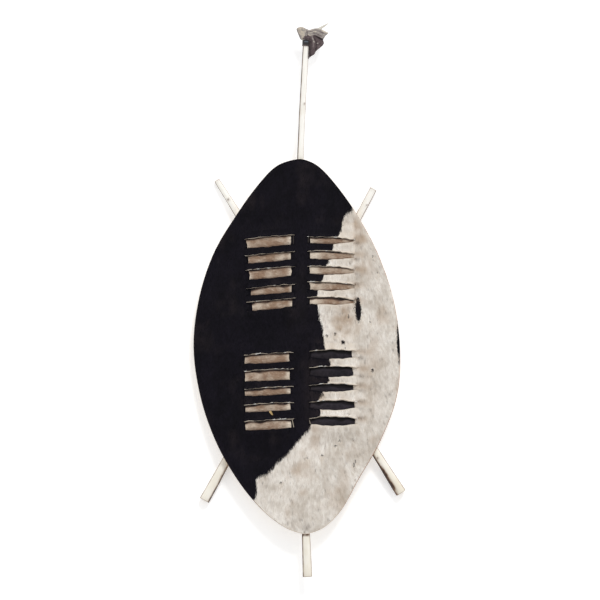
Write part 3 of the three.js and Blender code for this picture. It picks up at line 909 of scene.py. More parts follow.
@dataclass(frozen=True)
class Block:
    """Five pairs of slits and the lace in them. Lengths across run outwards from the hide's middle."""

    lace: str
    side: int
    slit_inner: float
    slit_outer: float
    lace_inner: tuple[float, float]
    lace_outer: tuple[float, float]
    first_pair: float
    pitch: float
    wander: tuple[float, ...]
    exposures: tuple[float, ...]
    slants: tuple[float, float]
    tied_pair: int
    tie_share: float = 0.45
    slit_gape: float = 1.4
    tie_gape: float = 1.6
    lace_tail: float = 40.0
    lip_curl: float = 1.0
    lift: float = 3.25
    # How far a lip dips towards the other one at the slit's outer and inner ends, and how unevenly
    pinch: tuple[float, float] = (1.0, 2.1)
    bows: tuple[float, ...] = (0.4, -0.3, 0.5, 0.2, -0.2)
    # How far the painted shadow reaches down each exposed stretch of the lace from the lip over it
    shades: tuple[float, ...] = (2.0, 2.4, 1.8, 2.2, 2.8)
    # The share of the lace's width that is bright at its inner edge
    bright_end: float = 0.08
    # How much further out the tie's lower end is than its upper one
    tie_slant: float = 0.0

    def run(self, distance: np.ndarray) -> np.ndarray:
        """How far along a slit each distance out is, from 0 at its outer end to 1 at its inner one."""
        return np.clip((self.slit_outer - distance) / (self.slit_outer - self.slit_inner), 0, 1)

    def stations(self, y: float | np.ndarray) -> np.ndarray:
        """How far out the slit's outer end, the lace's edges, the tie and the slit's inner end stand."""
        share = (self.first_pair - y) / (4 * self.pitch)
        inner = mix(self.lace_inner[0], self.lace_inner[1], share)
        outer = mix(self.lace_outer[0], self.lace_outer[1], share)
        tie = mix(inner, self.slit_inner, self.tie_share)
        same = np.ones_like(np.asarray(share, dtype=float))
        return np.stack([stop * same for stop in (self.slit_outer, outer, inner, tie, self.slit_inner)])

    def levels(self) -> list[Level]:
        """The levels from the upper end of the lace's tail to the lower one."""
        slits: list[Level] = []
        for pair, exposure in enumerate(self.exposures):
            centre = self.first_pair - pair * self.pitch + self.wander[pair]
            gape = self.tie_gape if pair == self.tied_pair else self.slit_gape
            over = self.lift + self.lip_curl
            slits.append(Level(centre + exposure / 2, self.slants[0], gape, over, -self.lift, 0, True))
            slits.append(Level(centre - exposure / 2, self.slants[1], gape, -self.lift, self.lift, 0, True))

        def tail(slit: Level, way: int, share: float) -> Level:
            raised = self.lift * (1 - share)
            y = slit.y + way * share * self.lace_tail
            return Level(y, slit.slant, 0, raised, raised, self.lift * share, False)

        first, last = slits[0], slits[-1]
        return [tail(first, 1, 1), tail(first, 1, 0.5), *slits, tail(last, -1, 0.5), tail(last, -1, 1)]

    def slanted(self, level: Level, distance: np.ndarray) -> np.ndarray:
        """The place up the shield at a distance out along a level."""
        _, outer, inner, _, _ = self.stations(level.y)
        return level.y - math.tan(math.radians(level.slant)) * (distance - (outer + inner) / 2)


BLOCKS = {
    "upper_left": Block(
        "lace_upper_left", -1, 13.7, 141.6, (28.8, 24.7), (133.4, 121.2), 250.8, 37.5,
        (0, 0, 0, -3, 0), (23, 19.3, 23.3, 18.6, 21.4), (5.4, 5), 0, shades=(2.2, 2.6, 2.4, 5.4, 5.2),
    ),
    "upper_right": Block(
        "lace_upper_right", 1, 8.4, 127.2, (18, 18), (122.4, 122.4), 254.3, 36.6,
        (0, 0, 0.8, -0.5, 0), (14.2, 16.8, 16.8, 16.8, 15.8), (2.6, -0.3), 0,
        pinch=(3.4, 2.1), bows=(-0.6, 1.2, 0.8, 1.4, 1.8), shades=(4.4, 1.8, 1.6, 2.2, 4.4),
        bright_end=0.22,
    ),
    "lower_left": Block(
        "lace_lower_left", -1, 17, 141.6, (32.4, 27.6), (138, 136.6), -28.8, 39.8,
        (0, -1, 0, 1.4, 0), (21.8, 26, 17.6, 18.4, 21.6), (3.6, 2.9), 4, shades=(4.0, 4.4, 4.2, 4.4, 4.4),
        tie_slant=-3.6,
    ),
    "lower_right": Block(
        "lace_lower_right", 1, 13.2, 137, (20.4, 20.4), (118.8, 125.3), -18.7, 40.3,
        (0, -1.6, 0, -1, 0), (18.4, 21.8, 14.9, 17.9, 16.9), (0.3, 0), 4,
        pinch=(3.0, 3.4), bows=(1.6, 2.4, 1.4, 2.0, 1.8), shades=(7.5, 5, 6, 7, 6),
        tie_slant=4.4,
    ),
}


@dataclass(frozen=True)
class HideShape:
    """The hide's outline and its surface, before its bands are lifted."""

    length: float = 900.0
    # How far the lower tip stands to the right of the upper one
    lean: float = 12.0
    thickness: float = 3.0
    left: tuple[float, ...] = (0, 54, 100, 153, 210, 247, 262, 248, 213, 162, 105, 48, 0)
    right: tuple[float, ...] = (0, 41, 84, 134, 183, 219, 234, 226, 185, 131, 90, 46, 0)
    droop: float = 28.0
    droop_power: float = 1.6
    press_gap: float = 0.3
    lash_room: float = 3.1
    lash_reach: float = 75.0
    ridge_rise: float = 1.1
    ridge_reach: float = 15.0
    unevenness: float = 1.1

    def half_width(self, side: int, y: np.ndarray) -> np.ndarray:
        """Half the hide's width on one side, on a smooth curve through its measured places."""
        widths = np.array(self.left if side < 0 else self.right, dtype=float)
        last = len(widths) - 1
        turn = np.arccos(np.clip(2 * np.asarray(y, dtype=float) / self.length, -1, 1)) / math.pi * last
        step = np.minimum(np.floor(turn).astype(int), last - 1)
        share = turn - step
        near = [widths[np.clip(step + order, 0, last)] for order in (-1, 0, 1, 2)]
        return spline(*near, share)

    def edge(self, side: int, y: np.ndarray) -> np.ndarray:
        """The hide's cut edge on one side."""
        return -self.lean * np.asarray(y) / self.length + side * self.half_width(side, y)

    def middle(self, x: np.ndarray, y: np.ndarray) -> np.ndarray:
        """The height of the hide's middle surface."""
        share = CENTRE_STICK.share_at(np.asarray(y, dtype=float))
        ridge = CENTRE_STICK.axis(share)
        lash = self.lash_room * bell((y - CENTRE_STICK.crossing[1]) / self.lash_reach)
        under = ridge[..., 2] + CENTRE_STICK.radius(share) + self.press_gap + lash
        away = np.abs(x - ridge[..., 0])
        fall = self.droop * (away / max(self.left + self.right)) ** self.droop_power
        rise = self.ridge_rise * bell(away / self.ridge_reach)
        waves = lattice(x / 95 + 3, y / 120, 5) + 0.5 * lattice(x / 38, y / 52, 6)
        uneven = self.unevenness * waves * smooth((away - 10) / 60)
        return under + self.thickness / 2 - fall + rise + uneven


Row = tuple[tuple[Block, Level], tuple[Block, Level]]


@dataclass
class Patch:
    """A grid of points on the hide's middle surface, between two levels. Rows run downwards."""

    points: np.ndarray
    inside: np.ndarray
    band: Band
    cut_above: bool
    cut_below: bool


@dataclass(frozen=True)
class Coat:
    """Where the hair is black and where it is white, with every mark on it. Places are photo pixels."""

    middle: tuple[float, float] = (302.5, 346.5)
    border: tuple[tuple[float, float], ...] = (
        (362, 190), (352, 208), (346, 212), (342, 222), (340, 233), (336, 240), (332.7, 245.8), (330.4, 259),
        (327, 265), (323.6, 275), (321.5, 280.6), (318.5, 290.6), (316.8, 296), (317, 305.6), (319.8, 314),
        (322.6, 323.9), (323.3, 335), (325.4, 348.4), (328.9, 358.2), (330.3, 363.8), (328.2, 380),
        (326.8, 384.2), (320.5, 394), (318.4, 399), (320.5, 410.8), (319.8, 416.5), (310, 426.3),
        (301.5, 435.4), (293.8, 444.5), (285.4, 454), (277, 460.3), (272.8, 466), (265.8, 471.6),
        (256.6, 476.5), (256, 481.4), (256, 488.4), (254.5, 496.8), (250, 520),
    )
    # Black marks on the white: centre, half-width and half-height, and how black
    marks: tuple[tuple[float, float, float, float, float], ...] = (
        (357.6, 304, 2.1, 6.5, 1.0), (358.2, 312, 2.6, 8.5, 1.0), (356, 307, 2.4, 9, 0.45),
        (400.2, 338, 3.4, 21, 1.0), (343, 342, 1.9, 2.2, 1.0), (372.5, 370, 1.3, 2.0, 1.0),
        (355.2, 461.2, 0.8, 1.7, 0.9), (353.6, 465, 0.9, 2.1, 0.9), (348.7, 316, 1.0, 1.8, 0.8),
        (335, 333.7, 1.1, 1.6, 0.9), (327, 335.5, 1.2, 1.6, 0.9), (345, 348.7, 1.1, 1.4, 0.8),
        (372.5, 256, 0.9, 1.3, 0.6), (377, 272.5, 0.9, 1.3, 0.6), (370, 322.5, 0.9, 1.5, 0.6),
        (348.7, 413.7, 0.9, 1.4, 0.7),
        (353, 440, 1.0, 1.6, 0.8), (339.5, 440.7, 1.2, 1.5, 0.9), (335.7, 445.5, 1.2, 1.4, 0.9),
        (322.5, 455, 1.2, 1.4, 0.7), (306, 457.5, 2.0, 1.5, 0.5), (355, 479.5, 1.0, 1.5, 0.7),
        (281, 482.5, 1.0, 1.4, 0.7),
    )
    # Warm stains: centre, half-width and half-height, and strength
    stains: tuple[tuple[float, float, float, float, float], ...] = (
        (357, 226, 5, 9, 0.7), (342.5, 321, 11, 16, 0.95), (382, 317, 6, 8, 0.5), (302, 492.5, 4, 3, 0.6),
        (364, 266, 10, 10, 0.4), (345, 288, 9, 8, 0.2), (376, 360, 9, 12, 0.35), (366, 372, 8, 8, 0.3),
        (361, 239, 8, 8, 0.5), (372, 400, 8, 14, 0.25), (330, 505, 14, 5, 0.18), (300, 470, 12, 8, 0.2),
        (315, 390, 10, 36, 0.7), (297, 300, 12, 30, 0.2),
    )

    def to_hide(self, spots: np.ndarray) -> np.ndarray:
        """Photo pixels as places on the hide."""
        spots = np.asarray(spots, dtype=float)
        right, up = spots[..., 0] - self.middle[0], self.middle[1] - spots[..., 1]
        return np.stack([right * PIXEL, up * PIXEL], axis=-1)

    def ragged(self, x: np.ndarray, y: np.ndarray) -> np.ndarray:
        """How far the border's tufts of hair carry it, at two sizes."""
        return 1.7 * lattice(x / 13, y / 22, 11) + 0.9 * lattice(x / 5, y / 9, 12)

    def whiteness(self, x: np.ndarray, y: np.ndarray) -> np.ndarray:
        """How far each place is inside the white, below nought in the black."""
        line = self.to_hide(np.array(self.border))
        start, end = line[:-1], line[1:]
        along = end - start
        place = np.stack([x, y], axis=-1)[..., None, :]
        share = np.clip(((place - start) * along).sum(-1) / (along**2).sum(-1), 0, 1)
        far = np.linalg.norm(place - (start + share[..., None] * along), axis=-1).min(-1)
        ring = np.concatenate([line, self.to_hide(np.array([(250, 620), (480, 620), (480, 190)]))])
        inside = np.zeros(np.shape(x), dtype=bool)
        for (ax, ay), (bx, by) in zip(ring, np.roll(ring, -1, axis=0)):
            if ay != by:
                inside ^= ((ay > y) != (by > y)) & (x < (bx - ax) * (y - ay) / (by - ay) + ax)
        signed = np.where(inside, far, -far)
        return np.minimum(signed, self.clear_of_marks(x, y, 1.0))

    def clear_of_marks(self, x: np.ndarray, y: np.ndarray, weakest: float) -> np.ndarray:
        """How far each place is outside the nearest black mark of at least the weakest strength."""
        nearest = np.full(np.shape(x), 1e3)
        for px, py, wide, high, strength in self.marks:
            if strength < weakest:
                continue
            cx, cy = self.to_hide(np.array([px, py]))
            wide, high = wide * PIXEL, high * PIXEL
            round_it = np.hypot((x - cx) / wide, (y - cy) / high)
            nearest = np.minimum(nearest, (round_it - 1) * min(wide, high))
        return nearest

    def warmth(self, x: np.ndarray, y: np.ndarray) -> np.ndarray:
        """How strongly each place is stained a warm tan."""
        total = 0.42 * np.clip(lattice(x / 33, y / 44, 13) + 0.5 * lattice(x / 12, y / 15, 14) - 0.25, 0, 1)
        for px, py, wide, high, strength in self.stains:
            cx, cy = self.to_hide(np.array([px, py]))
            stain = bell((x - cx) / (wide * PIXEL), (y - cy) / (high * PIXEL))
            total = total + strength * stain * (1 + 0.6 * lattice(x / 9, y / 11, 15))
        for block in (BLOCKS["upper_right"], BLOCKS["lower_right"]):
            for level in block.levels():
                if level.cut and level.above > 0:
                    cx = block.slit_outer + 6
                    cy = float(block.slanted(level, np.array(cx)))
                    total = total + 0.6 * bell((x - cx) / 16, (y - cy + 3) / 8)
        return np.clip(total, 0, 0.85)

    def soil(self, x: np.ndarray, y: np.ndarray) -> np.ndarray:
        """How dirty each place is: at the slits' outer ends in the white, and on the lower tip."""
        total = np.zeros(np.shape(x))
        for block in (BLOCKS["upper_right"], BLOCKS["lower_right"]):
            for order, level in enumerate(block.levels()):
                if level.cut:
                    cx = block.slit_outer + 3
                    cy = float(block.slanted(level, np.array(cx)))
                    strength = 0.45 + 0.3 * math.sin(order * 2.7)
                    total = total + strength * bell((x - cx) / 8.5, (y - cy) / 2.8)
        cx, cy = self.to_hide(np.array([305.8, 527.5]))
        total = total + 0.3 * bell((x - cx) / 8, (y - cy) / 9)
        fine = np.clip(lattice(x / 6, y / 8, 16) + 0.7 * lattice(x / 2.6, y / 3.4, 17) - 0.68, 0, 1)
        return np.clip(total + 0.75 * fine, 0, 0.8)


@dataclass
class Hide:
    """The hide, cut into five pairs of slits in each quarter, and the hairs on it."""

    shape: HideShape = HideShape()
    coat: Coat = Coat()
    outer_lines: int = 26
    slit_end_lines: int = 3
    lace_lines: int = 24
    row_shares: tuple[float, ...] = (0, 0.1, 0.26, 0.5, 0.74, 0.9, 1)
    tip_rows: int = 26
    # How far a band's lower lip and its upper edge curl up, and how far in from them that reaches
    curl: float = 2.2
    curl_reach: float = 3.6
    top_curl: float = 0.7
    top_curl_reach: float = 3.0
    lip_waver: float = 0.8
    lip_waver_reach: float = 4.0
    # The shares of a slit over which its lips are pinched together, at its outer and inner ends
    pinch_reach: tuple[float, float] = (0.22, 0.2)
    bow_waver: float = 0.8
    # The share of a tip's rows that ease out of the weave's slant
    tip_ease: float = 0.6
    band_waver: float = 0.5
    # How far each cut edge slants under, so that it shows from above, and how far its front is worn down
    cut_slant: float = 2.1
    upright_slant: float = 0.7
    under_slant: float = 0.4
    lower_slant: float = 0.9
    rim_slant: float = 1.7
    lip_wear: float = 0.3
    rim_wear: float = 0.4

    def side_lines(self, block: Block, level: Level) -> tuple[np.ndarray, ...]:
        """One side's points along a level, from the edge inwards.

        Args:
            block: The block of slits that the level is in.
            level: The level.

        Returns:
            The places across and up the shield, how far inside the slit each is, and how far along it.
        """
        slit_outer, lace_outer, lace_inner, tie, slit_inner = block.stations(level.y)
        stops = [slit_outer, lace_outer, lace_inner, tie, slit_inner]
        depths = [0, 1, 1, 1 - block.tie_share, 0]
        counts = [self.slit_end_lines, self.lace_lines, 2, 2]
        distance, depth = [], []
        for index, count in enumerate(counts):
            share = np.arange(count) / count
            distance.append(mix(stops[index], stops[index + 1], share))
            depth.append(mix(depths[index], depths[index + 1], share))
        distance = np.append(np.concatenate(distance), slit_inner)
        depth = np.append(np.concatenate(depth), 0.0)
        y = block.slanted(level, distance)
        x = block.side * distance
        edge = self.shape.edge(block.side, y[0])
        share = 1 - np.arange(self.outer_lines) / self.outer_lines
        outer_x = mix(x[0], edge, share)
        return (
            np.concatenate([outer_x, x]),
            np.concatenate([np.full(self.outer_lines, y[0]), y]),
            np.concatenate([np.zeros(self.outer_lines), smooth(depth)]),
            np.concatenate([np.zeros(self.outer_lines), block.run(distance)]),
        )

    def whole_line(self, left: tuple[Block, Level], right: tuple[Block, Level]) -> np.ndarray:
        """A whole row, from left to right, with the four values that side_lines gives for each point."""
        first = np.stack(self.side_lines(*left))
        second = np.stack(self.side_lines(*right))[:, ::-1]
        y = (first[1, -1] + second[1, 0]) / 2
        ridge = float(CENTRE_STICK.axis(CENTRE_STICK.share_at(y))[0])
        middle = np.array([[ridge], [y], [0.0], [0.0]])
        steps = np.array([1 / 3, 2 / 3])
        near_left = mix(first[:, -1:], middle, steps)
        near_right = mix(middle, second[:, :1], steps)
        near_left[2:], near_right[2:] = 0, 0
        return np.concatenate([first, near_left, middle, near_right, second], axis=1)

    def patches(self) -> list[Patch]:
        """The whole hide from its upper tip to its lower one, a patch to each stretch between two levels."""
        rows: list[Row] = []
        for height in ("upper", "lower"):
            left, right = BLOCKS[f"{height}_left"], BLOCKS[f"{height}_right"]
            rows += [((left, first), (right, second)) for first, second in zip(left.levels(), right.levels())]
        lines = [self.whole_line(*row) for row in rows]
        found = [self.tip(lines[0], 1)]
        for index in range(len(rows) - 1):
            found.append(self.stretch(rows[index], rows[index + 1], lines[index], lines[index + 1], index))
        found.append(self.tip(lines[-1], -1))
        return found

    def stretch(self, above: Row, below: Row, upper: np.ndarray, lower: np.ndarray, index: int) -> Patch:
        """The hide between two levels, lifted over the lace or let down under it.

        Args:
            above: The block and level of each side, above.
            below: The same below.
            upper: The upper row, as whole_line gives it.
            lower: The lower row.
            index: The stretch's number, which also seeds the waver of its lips.

        Returns:
            The stretch.
        """
        (left_block, left_a), (right_block, right_a) = above
        (_, left_b), (_, right_b) = below
        count = upper.shape[1]
        on_left = np.arange(count) < count // 2
        gape_a = np.where(on_left, left_a.gape, right_a.gape) / 2
        gape_b = np.where(on_left, left_b.gape, right_b.gape) / 2
        inside = (upper[2] + lower[2]) / 2
        opened = (inside > 0).astype(float)
        share = np.array(self.row_shares)[:, None]
        x = mix(upper[0], lower[0], share)
        top, foot = upper[1] - gape_a * opened, lower[1] + gape_b * opened
        cover = left_a.below + left_b.above > 0
        if cover and left_a.cut:
            top = top + self.lip_bow(left_block, right_block, on_left, lower[3], index - 1) * opened
        if cover and left_b.cut:
            foot = foot - self.lip_bow(left_block, right_block, on_left, upper[3], index) * opened
        y = mix(top, foot, share)
        lift = mix(left_a.below, left_b.above, share) * inside
        reach = top - foot
        to_foot, to_top = (1 - share) * reach, share * reach
        curl = np.zeros_like(x)
        if left_b.cut and cover:
            curl += self.curl * bell(to_foot / self.curl_reach) * (1 + 0.35 * lattice(x / 9, y * 0, index))
        if left_a.cut and cover:
            curl += self.top_curl * bell(to_top / self.top_curl_reach)
        curl *= inside
        if left_a.cut:
            fade = self.lip_waver * inside * np.exp(-to_top / self.lip_waver_reach)
            y = y + fade * lattice(x / 8, y * 0 + 2 * index, 21)
        if left_b.cut:
            fade = self.lip_waver * inside * np.exp(-to_foot / self.lip_waver_reach)
            y = y + fade * lattice(x / 8, y * 0 + 2 * index + 2, 22)
        if cover:
            lift = lift + self.band_waver * inside * lattice(x / 24, y / 30 + index, 23)
        points = np.stack([x, y, self.shape.middle(x, y) + lift + curl], axis=-1)
        band = Band.PLAIN if not (left_a.cut or left_b.cut) else Band.COVER if cover else Band.UNDER
        return Patch(points, np.broadcast_to(inside, x.shape), band, left_a.cut, left_b.cut)

    def lip_bow(
        self, left: Block, right: Block, on_left: np.ndarray, run: np.ndarray, index: int
    ) -> np.ndarray:
        """How far a lip comes over the lace along its slit: most at its ends, least where it bows away."""
        found = np.zeros_like(run)
        for block, side in ((left, on_left), (right, ~on_left)):
            outer, inner = (bell(part / reach) for part, reach in zip((run, 1 - run), self.pinch_reach))
            ends = block.pinch[0] * outer + block.pinch[1] * inner
            bow = block.bows[(index // 2) % len(block.bows)] * np.sin(math.pi * run)
            waver = self.bow_waver * lattice(run * 9, run * 0 + index, 24 + block.side)
            found = np.where(side, ends - bow + waver, found)
        return found

    def tip(self, line: np.ndarray, way: int) -> Patch:
        """The hide between the weave and one tip: the last row, drawn in with the hide's edges."""
        ridge_x = CENTRE_STICK.axis(CENTRE_STICK.share_at(line[1]))[:, 0]
        side = np.where(line[0] < ridge_x, -1, 1)
        edge = np.where(side < 0, self.shape.edge(-1, line[1]), self.shape.edge(1, line[1]))
        share = np.clip((line[0] - ridge_x) / (edge - ridge_x), 0, 1)
        nearest = (way * line[1]).max()
        start = math.acos(2 * nearest / self.shape.length) / math.pi
        rows = [np.stack([line[0], line[1]])]
        for row in range(1, self.tip_rows + 1):
            along = way * self.shape.length / 2 * math.cos(math.pi * start * (1 - row / self.tip_rows))
            y = along + (line[1] - nearest * way) * (1 - smooth(row / (self.tip_rows * self.tip_ease)))
            ridge = CENTRE_STICK.axis(CENTRE_STICK.share_at(y))[:, 0]
            edge = np.where(side < 0, self.shape.edge(-1, y), self.shape.edge(1, y))
            rows.append(np.stack([mix(ridge, edge, share), y]))
        grid = np.array(rows)
        grid[-1] = np.array([[-self.shape.lean * way / 2], [way * self.shape.length / 2]])
        if way > 0:
            grid = grid[::-1]
        x, y = grid[:, 0], grid[:, 1]
        points = np.stack([x, y, self.shape.middle(x, y)], axis=-1)
        return Patch(points, np.zeros_like(x), Band.PLAIN, False, False)

    def build(self, place: Place, finishes: list[bpy.types.Material]) -> bpy.types.Object:
        """Makes the hide with its slits.

        Args:
            place: Where the maker's frame is.
            finishes: Those of its front, its back, its cut edge and the lips over the laces.

        Returns:
            The hide.
        """
        shape = bmesh.new()
        lip = shape.verts.layers.float.new("lip")
        for patch in self.patches():
            rows, count = patch.inside.shape
            verts = [shape.verts.new(point) for point in patch.points.reshape(-1, 3)]
            for line in range(count):
                if patch.cut_below and patch.inside[-1, line] > 0:
                    verts[(rows - 1) * count + line][lip] = 1 if patch.band is Band.COVER else 2
                if patch.cut_above and patch.inside[0, line] > 0:
                    verts[line][lip] = 3
            for face in net(rows, count, down=True):
                shape.faces.new([verts[index] for index in face])
        bmesh.ops.remove_doubles(shape, verts=shape.verts, dist=1e-3)
        shape.verts.ensure_lookup_table()
        shape.verts.index_update()
        points = np.array([vert.co for vert in shape.verts])
        lips = np.array([vert[lip] for vert in shape.verts])
        faces = [tuple(vert.index for vert in face.verts) for face in shape.faces]
        shape.free()
        return self._thicken(place, points, lips, faces, finishes)

    def _thicken(
        self,
        place: Place,
        points: np.ndarray,
        lips: np.ndarray,
        faces: list[Face],
        finishes: list[bpy.types.Material],
    ) -> bpy.types.Object:
        """Gives the sheet its two faces and its cut edges, slanted so that they show from above.

        Args:
            place: Where the maker's frame is.
            points: The sheet's points.
            lips: 1 on a slit's upper lip, 2 on the hide under a lace, 3 on a lower lip, else 0.
            faces: The sheet's faces.
            finishes: Those of its front, its back, its cut edge and the lips over the laces.

        Returns:
            The hide.
        """
        half = self.shape.thickness / 2
        front, back = points + [0, 0, half], points - [0, 0, half]
        rim = rim_of(faces)
        on_rim = np.zeros(len(points), dtype=bool)
        on_rim[np.array(rim).ravel()] = True
        beads = np.clip(5 * lattice(points[:, 0] / 4.6, points[:, 1] / 6, 32) - 2.5, 0, 1.3)
        waver = np.clip(0.66 + 0.6 * lattice(points[:, 0] / 8, points[:, 1] / 6, 31) + beads, 0.1, 2)
        upper, under, lower = lips == 1, lips == 2, lips == 3
        # The lips of the upper left stand most upright, so they show least
        upright = (points[:, 0] < 0) & (points[:, 1] > 50)
        slant = np.where(upright, self.upright_slant, 1.0) * self.cut_slant
        front[upper, 1] += (slant * waver)[upper]
        front[upper, 2] -= self.lip_wear
        front[lower, 1] += self.lower_slant
        front[under, 1] -= self.under_slant
        outline = on_rim & (lips == 0)
        inward = points[:, :2] / np.linalg.norm(points[:, :2] * [1.6, 0.6], axis=1, keepdims=True)
        front[outline, :2] -= inward[outline] * self.rim_slant
        front[outline, 2] -= self.rim_wear
        everything, all_faces = closed_sheet(front, back, faces)
        edges = [3 if upper[start] and upper[end] else 2 for start, end in rim]
        indices = [0] * len(faces) + [1] * len(faces) + edges
        x, y = everything[:, 0], everything[:, 1]
        values = {
            "whiteness": self.coat.whiteness(x, y) + self.coat.ragged(x, y),
            "warmth": self.coat.warmth(x, y),
            "soil": self.coat.soil(x, y),
            "bead": np.tile(beads, 2),
        }
        return make_mesh("haired_hide", place.row(everything), all_faces, finishes, indices, values, 55)


@dataclass
class HairCoat:
    """Hairs laid over the hide, black and white, that all run down the shield."""

    hide: Hide
    count: int = 112000
    length: tuple[float, float] = (9.0, 17.0)
    width: tuple[float, float] = (0.45, 0.95)
    from_lip: tuple[float, float] = (-3.4, -0.4)
    from_edge: float = -1.2
    beside_mark: float = 4.0
    shortest: float = 1.6
    # How far inside its slits the hide under a lace has no hair
    covered_from: float = 0.98
    fan: float = 0.25
    unruly: float = 0.1
    # A hair that would stand past the outline is made this much shorter, so many times at most
    shorten: float = 0.6
    shorten_tries: int = 5
    stray: float = 0.8
    # How high each hair stands where it bends, where along it that is, and its share of width there
    rise: tuple[float, float] = (0.35, 1.1)
    bend: float = 0.55
    bend_width: float = 0.8
    seed: int = 41

    def roots(self, chance: np.random.Generator) -> tuple[np.ndarray, np.ndarray]:
        """Scatters the roots evenly over the hide's front.

        Args:
            chance: The source of random numbers.

        Returns:
            The roots, and how long each hair may be there.
        """
        found, room, cells = [], [], []
        patches = self.hide.patches()
        for patch in patches:
            corners = patch.points
            across = corners[:-1, 1:, :2] - corners[:-1, :-1, :2]
            down = corners[1:, :-1, :2] - corners[:-1, :-1, :2]
            area = np.abs(across[..., 0] * down[..., 1] - across[..., 1] * down[..., 0])
            if patch.band is Band.UNDER:
                area = np.where(patch.inside[:-1, 1:] > self.covered_from, 0, area)
            cells.append(area)
        total = sum(area.sum() for area in cells)
        for patch, area in zip(patches, cells):
            wanted = int(round(self.count * area.sum() / total))
            flat = chance.choice(area.size, size=wanted, p=(area / area.sum()).ravel())
            row, line = np.unravel_index(flat, area.shape)
            down, across = chance.random(wanted), chance.random(wanted)
            root = on_grid(patch.points, row, line, down, across)
            found.append(root)
            long = np.full(wanted, 1e3)
            if patch.cut_below:
                foot = mix(patch.points[-1, line, 1], patch.points[-1, line + 1, 1], across)
                slack = chance.uniform(*self.from_lip, wanted) if patch.band is Band.COVER else -0.5
                to_lip = np.maximum(root[:, 1] - foot + slack, 0)
                long = np.where(patch.inside[row, line] > 0, to_lip, long)
            room.append(long)
        return np.concatenate(found), np.concatenate(room)

    def build(
        self, place: Place, black: bpy.types.Material, white: bpy.types.Material
    ) -> list[bpy.types.Object]:
        """Makes the black hairs and the white ones, each a piece of its own."""
        chance = np.random.default_rng(self.seed)
        root, room = self.roots(chance)
        length = np.minimum(chance.uniform(*self.length, len(root)), room)
        shape, coat = self.hide.shape, self.hide.coat
        x, y = root[:, 0], root[:, 1]
        swirl = 0.28 * lattice(x / 60, y / 60, 51) + 0.12 * lattice(x / 14, y / 14, 52)
        fan = x / max(shape.left) * self.fan
        angle = -math.pi / 2 + fan + swirl + chance.normal(0, self.unruly, len(root))
        way = np.stack([np.cos(angle), np.sin(angle)], axis=-1)
        half = shape.length / 2
        for _ in range(self.shorten_tries):
            tip = root[:, :2] + way * length[:, None]
            held = np.clip(tip[:, 1], 1 - half, half - 1)
            past = np.maximum(tip[:, 0] - shape.edge(1, held), shape.edge(-1, held) - tip[:, 0])
            past = np.maximum(past, np.abs(tip[:, 1]) - half)
            length = np.where(past > self.from_edge, length * self.shorten, length)
        near = np.maximum(coat.clear_of_marks(x, y, 0.0), 0)
        length = np.minimum(length, self.beside_mark + near)
        keep = length > self.shortest
        root, way, length = root[keep], way[keep], length[keep]
        x, y = root[:, 0], root[:, 1]
        whiteness = coat.whiteness(x, y) + coat.ragged(x, y)
        is_white = whiteness + chance.normal(0, self.stray, len(root)) > 0
        is_white &= ~self.speckled(root, chance)
        pieces = []
        for name, own, finish in (("black_hairs", ~is_white, black), ("white_hairs", is_white, white)):
            pieces.append(self.strands(name, place, root[own], way[own], length[own], finish, chance))
        return pieces

    def speckled(self, root: np.ndarray, chance: np.random.Generator) -> np.ndarray:
        """Which roots are in one of the small black specks on the white."""
        coat = self.hide.coat
        found = np.zeros(len(root), dtype=bool)
        for px, py, wide, high, strength in coat.marks:
            cx, cy = coat.to_hide(np.array([px, py]))
            across, along = (root[:, 0] - cx) / (wide * PIXEL), (root[:, 1] - cy - 1.5) / (high * PIXEL)
            away = np.hypot(across, along)
            found |= (away < 1.1) & (chance.random(len(root)) < strength * 0.95)
        return found

    def strands(
        self,
        name: str,
        place: Place,
        root: np.ndarray,
        way: np.ndarray,
        length: np.ndarray,
        finish: bpy.types.Material,
        chance: np.random.Generator,
    ) -> bpy.types.Object:
        """Makes flat pointed hairs, each of a quad and a tip.

        Args:
            name: The piece's name.
            place: Where the maker's frame is.
            root: The roots, on the hide's middle surface.
            way: The direction of each hair.
            length: The length of each hair.
            finish: Their finish.
            chance: The source of random numbers.

        Returns:
            The hairs as one piece.
        """
        shape = self.hide.shape
        total = len(root)
        width = chance.uniform(*self.width, total)[:, None]
        side = np.stack([-way[:, 1], way[:, 0]], axis=-1) * width / 2
        base = root[:, 2] - shape.middle(root[:, 0], root[:, 1]) + shape.thickness / 2
        rise = chance.uniform(*self.rise, total)

        def at(share: float, high: np.ndarray, sideways: np.ndarray) -> np.ndarray:
            spot = root[:, :2] + way * (length * share)[:, None]
            z = shape.middle(spot[:, 0], spot[:, 1]) + base + high
            return np.concatenate([spot + sideways, z[:, None]], axis=1)

        rows = [
            at(0, 0 * rise - 0.1, -side), at(0, 0 * rise - 0.1, side),
            at(self.bend, rise, side * self.bend_width), at(self.bend, rise, -side * self.bend_width),
            at(1, rise * 0.55, side * 0),
        ]
        points = np.stack(rows, axis=1).reshape(-1, 3)
        first = np.arange(total)[:, None] * len(rows)
        faces = (first + [0, 3, 2, 1]).tolist() + (first + [4, 2, 3]).tolist()
        x, y = points[:, 0], points[:, 1]
        cloud = 0.22 * lattice(x / 46, y / 52, 53) + 0.18 * lattice(x / 18, y / 20, 54)
        cloud = cloud + 0.24 * lattice(x / 5, y / 6, 55)
        own = np.repeat(0.4 + chance.random(total) * 0.3, 5)
        tone = own + cloud + np.tile([0, 0, 0.06, 0.06, 0.12], total)
        coat = self.hide.coat
        values = {"tone": np.clip(tone, 0, 1), "warmth": coat.warmth(x, y) * 0.85, "soil": coat.soil(x, y)}
        return make_mesh(name, place.row(points), faces, [finish], None, values, None)


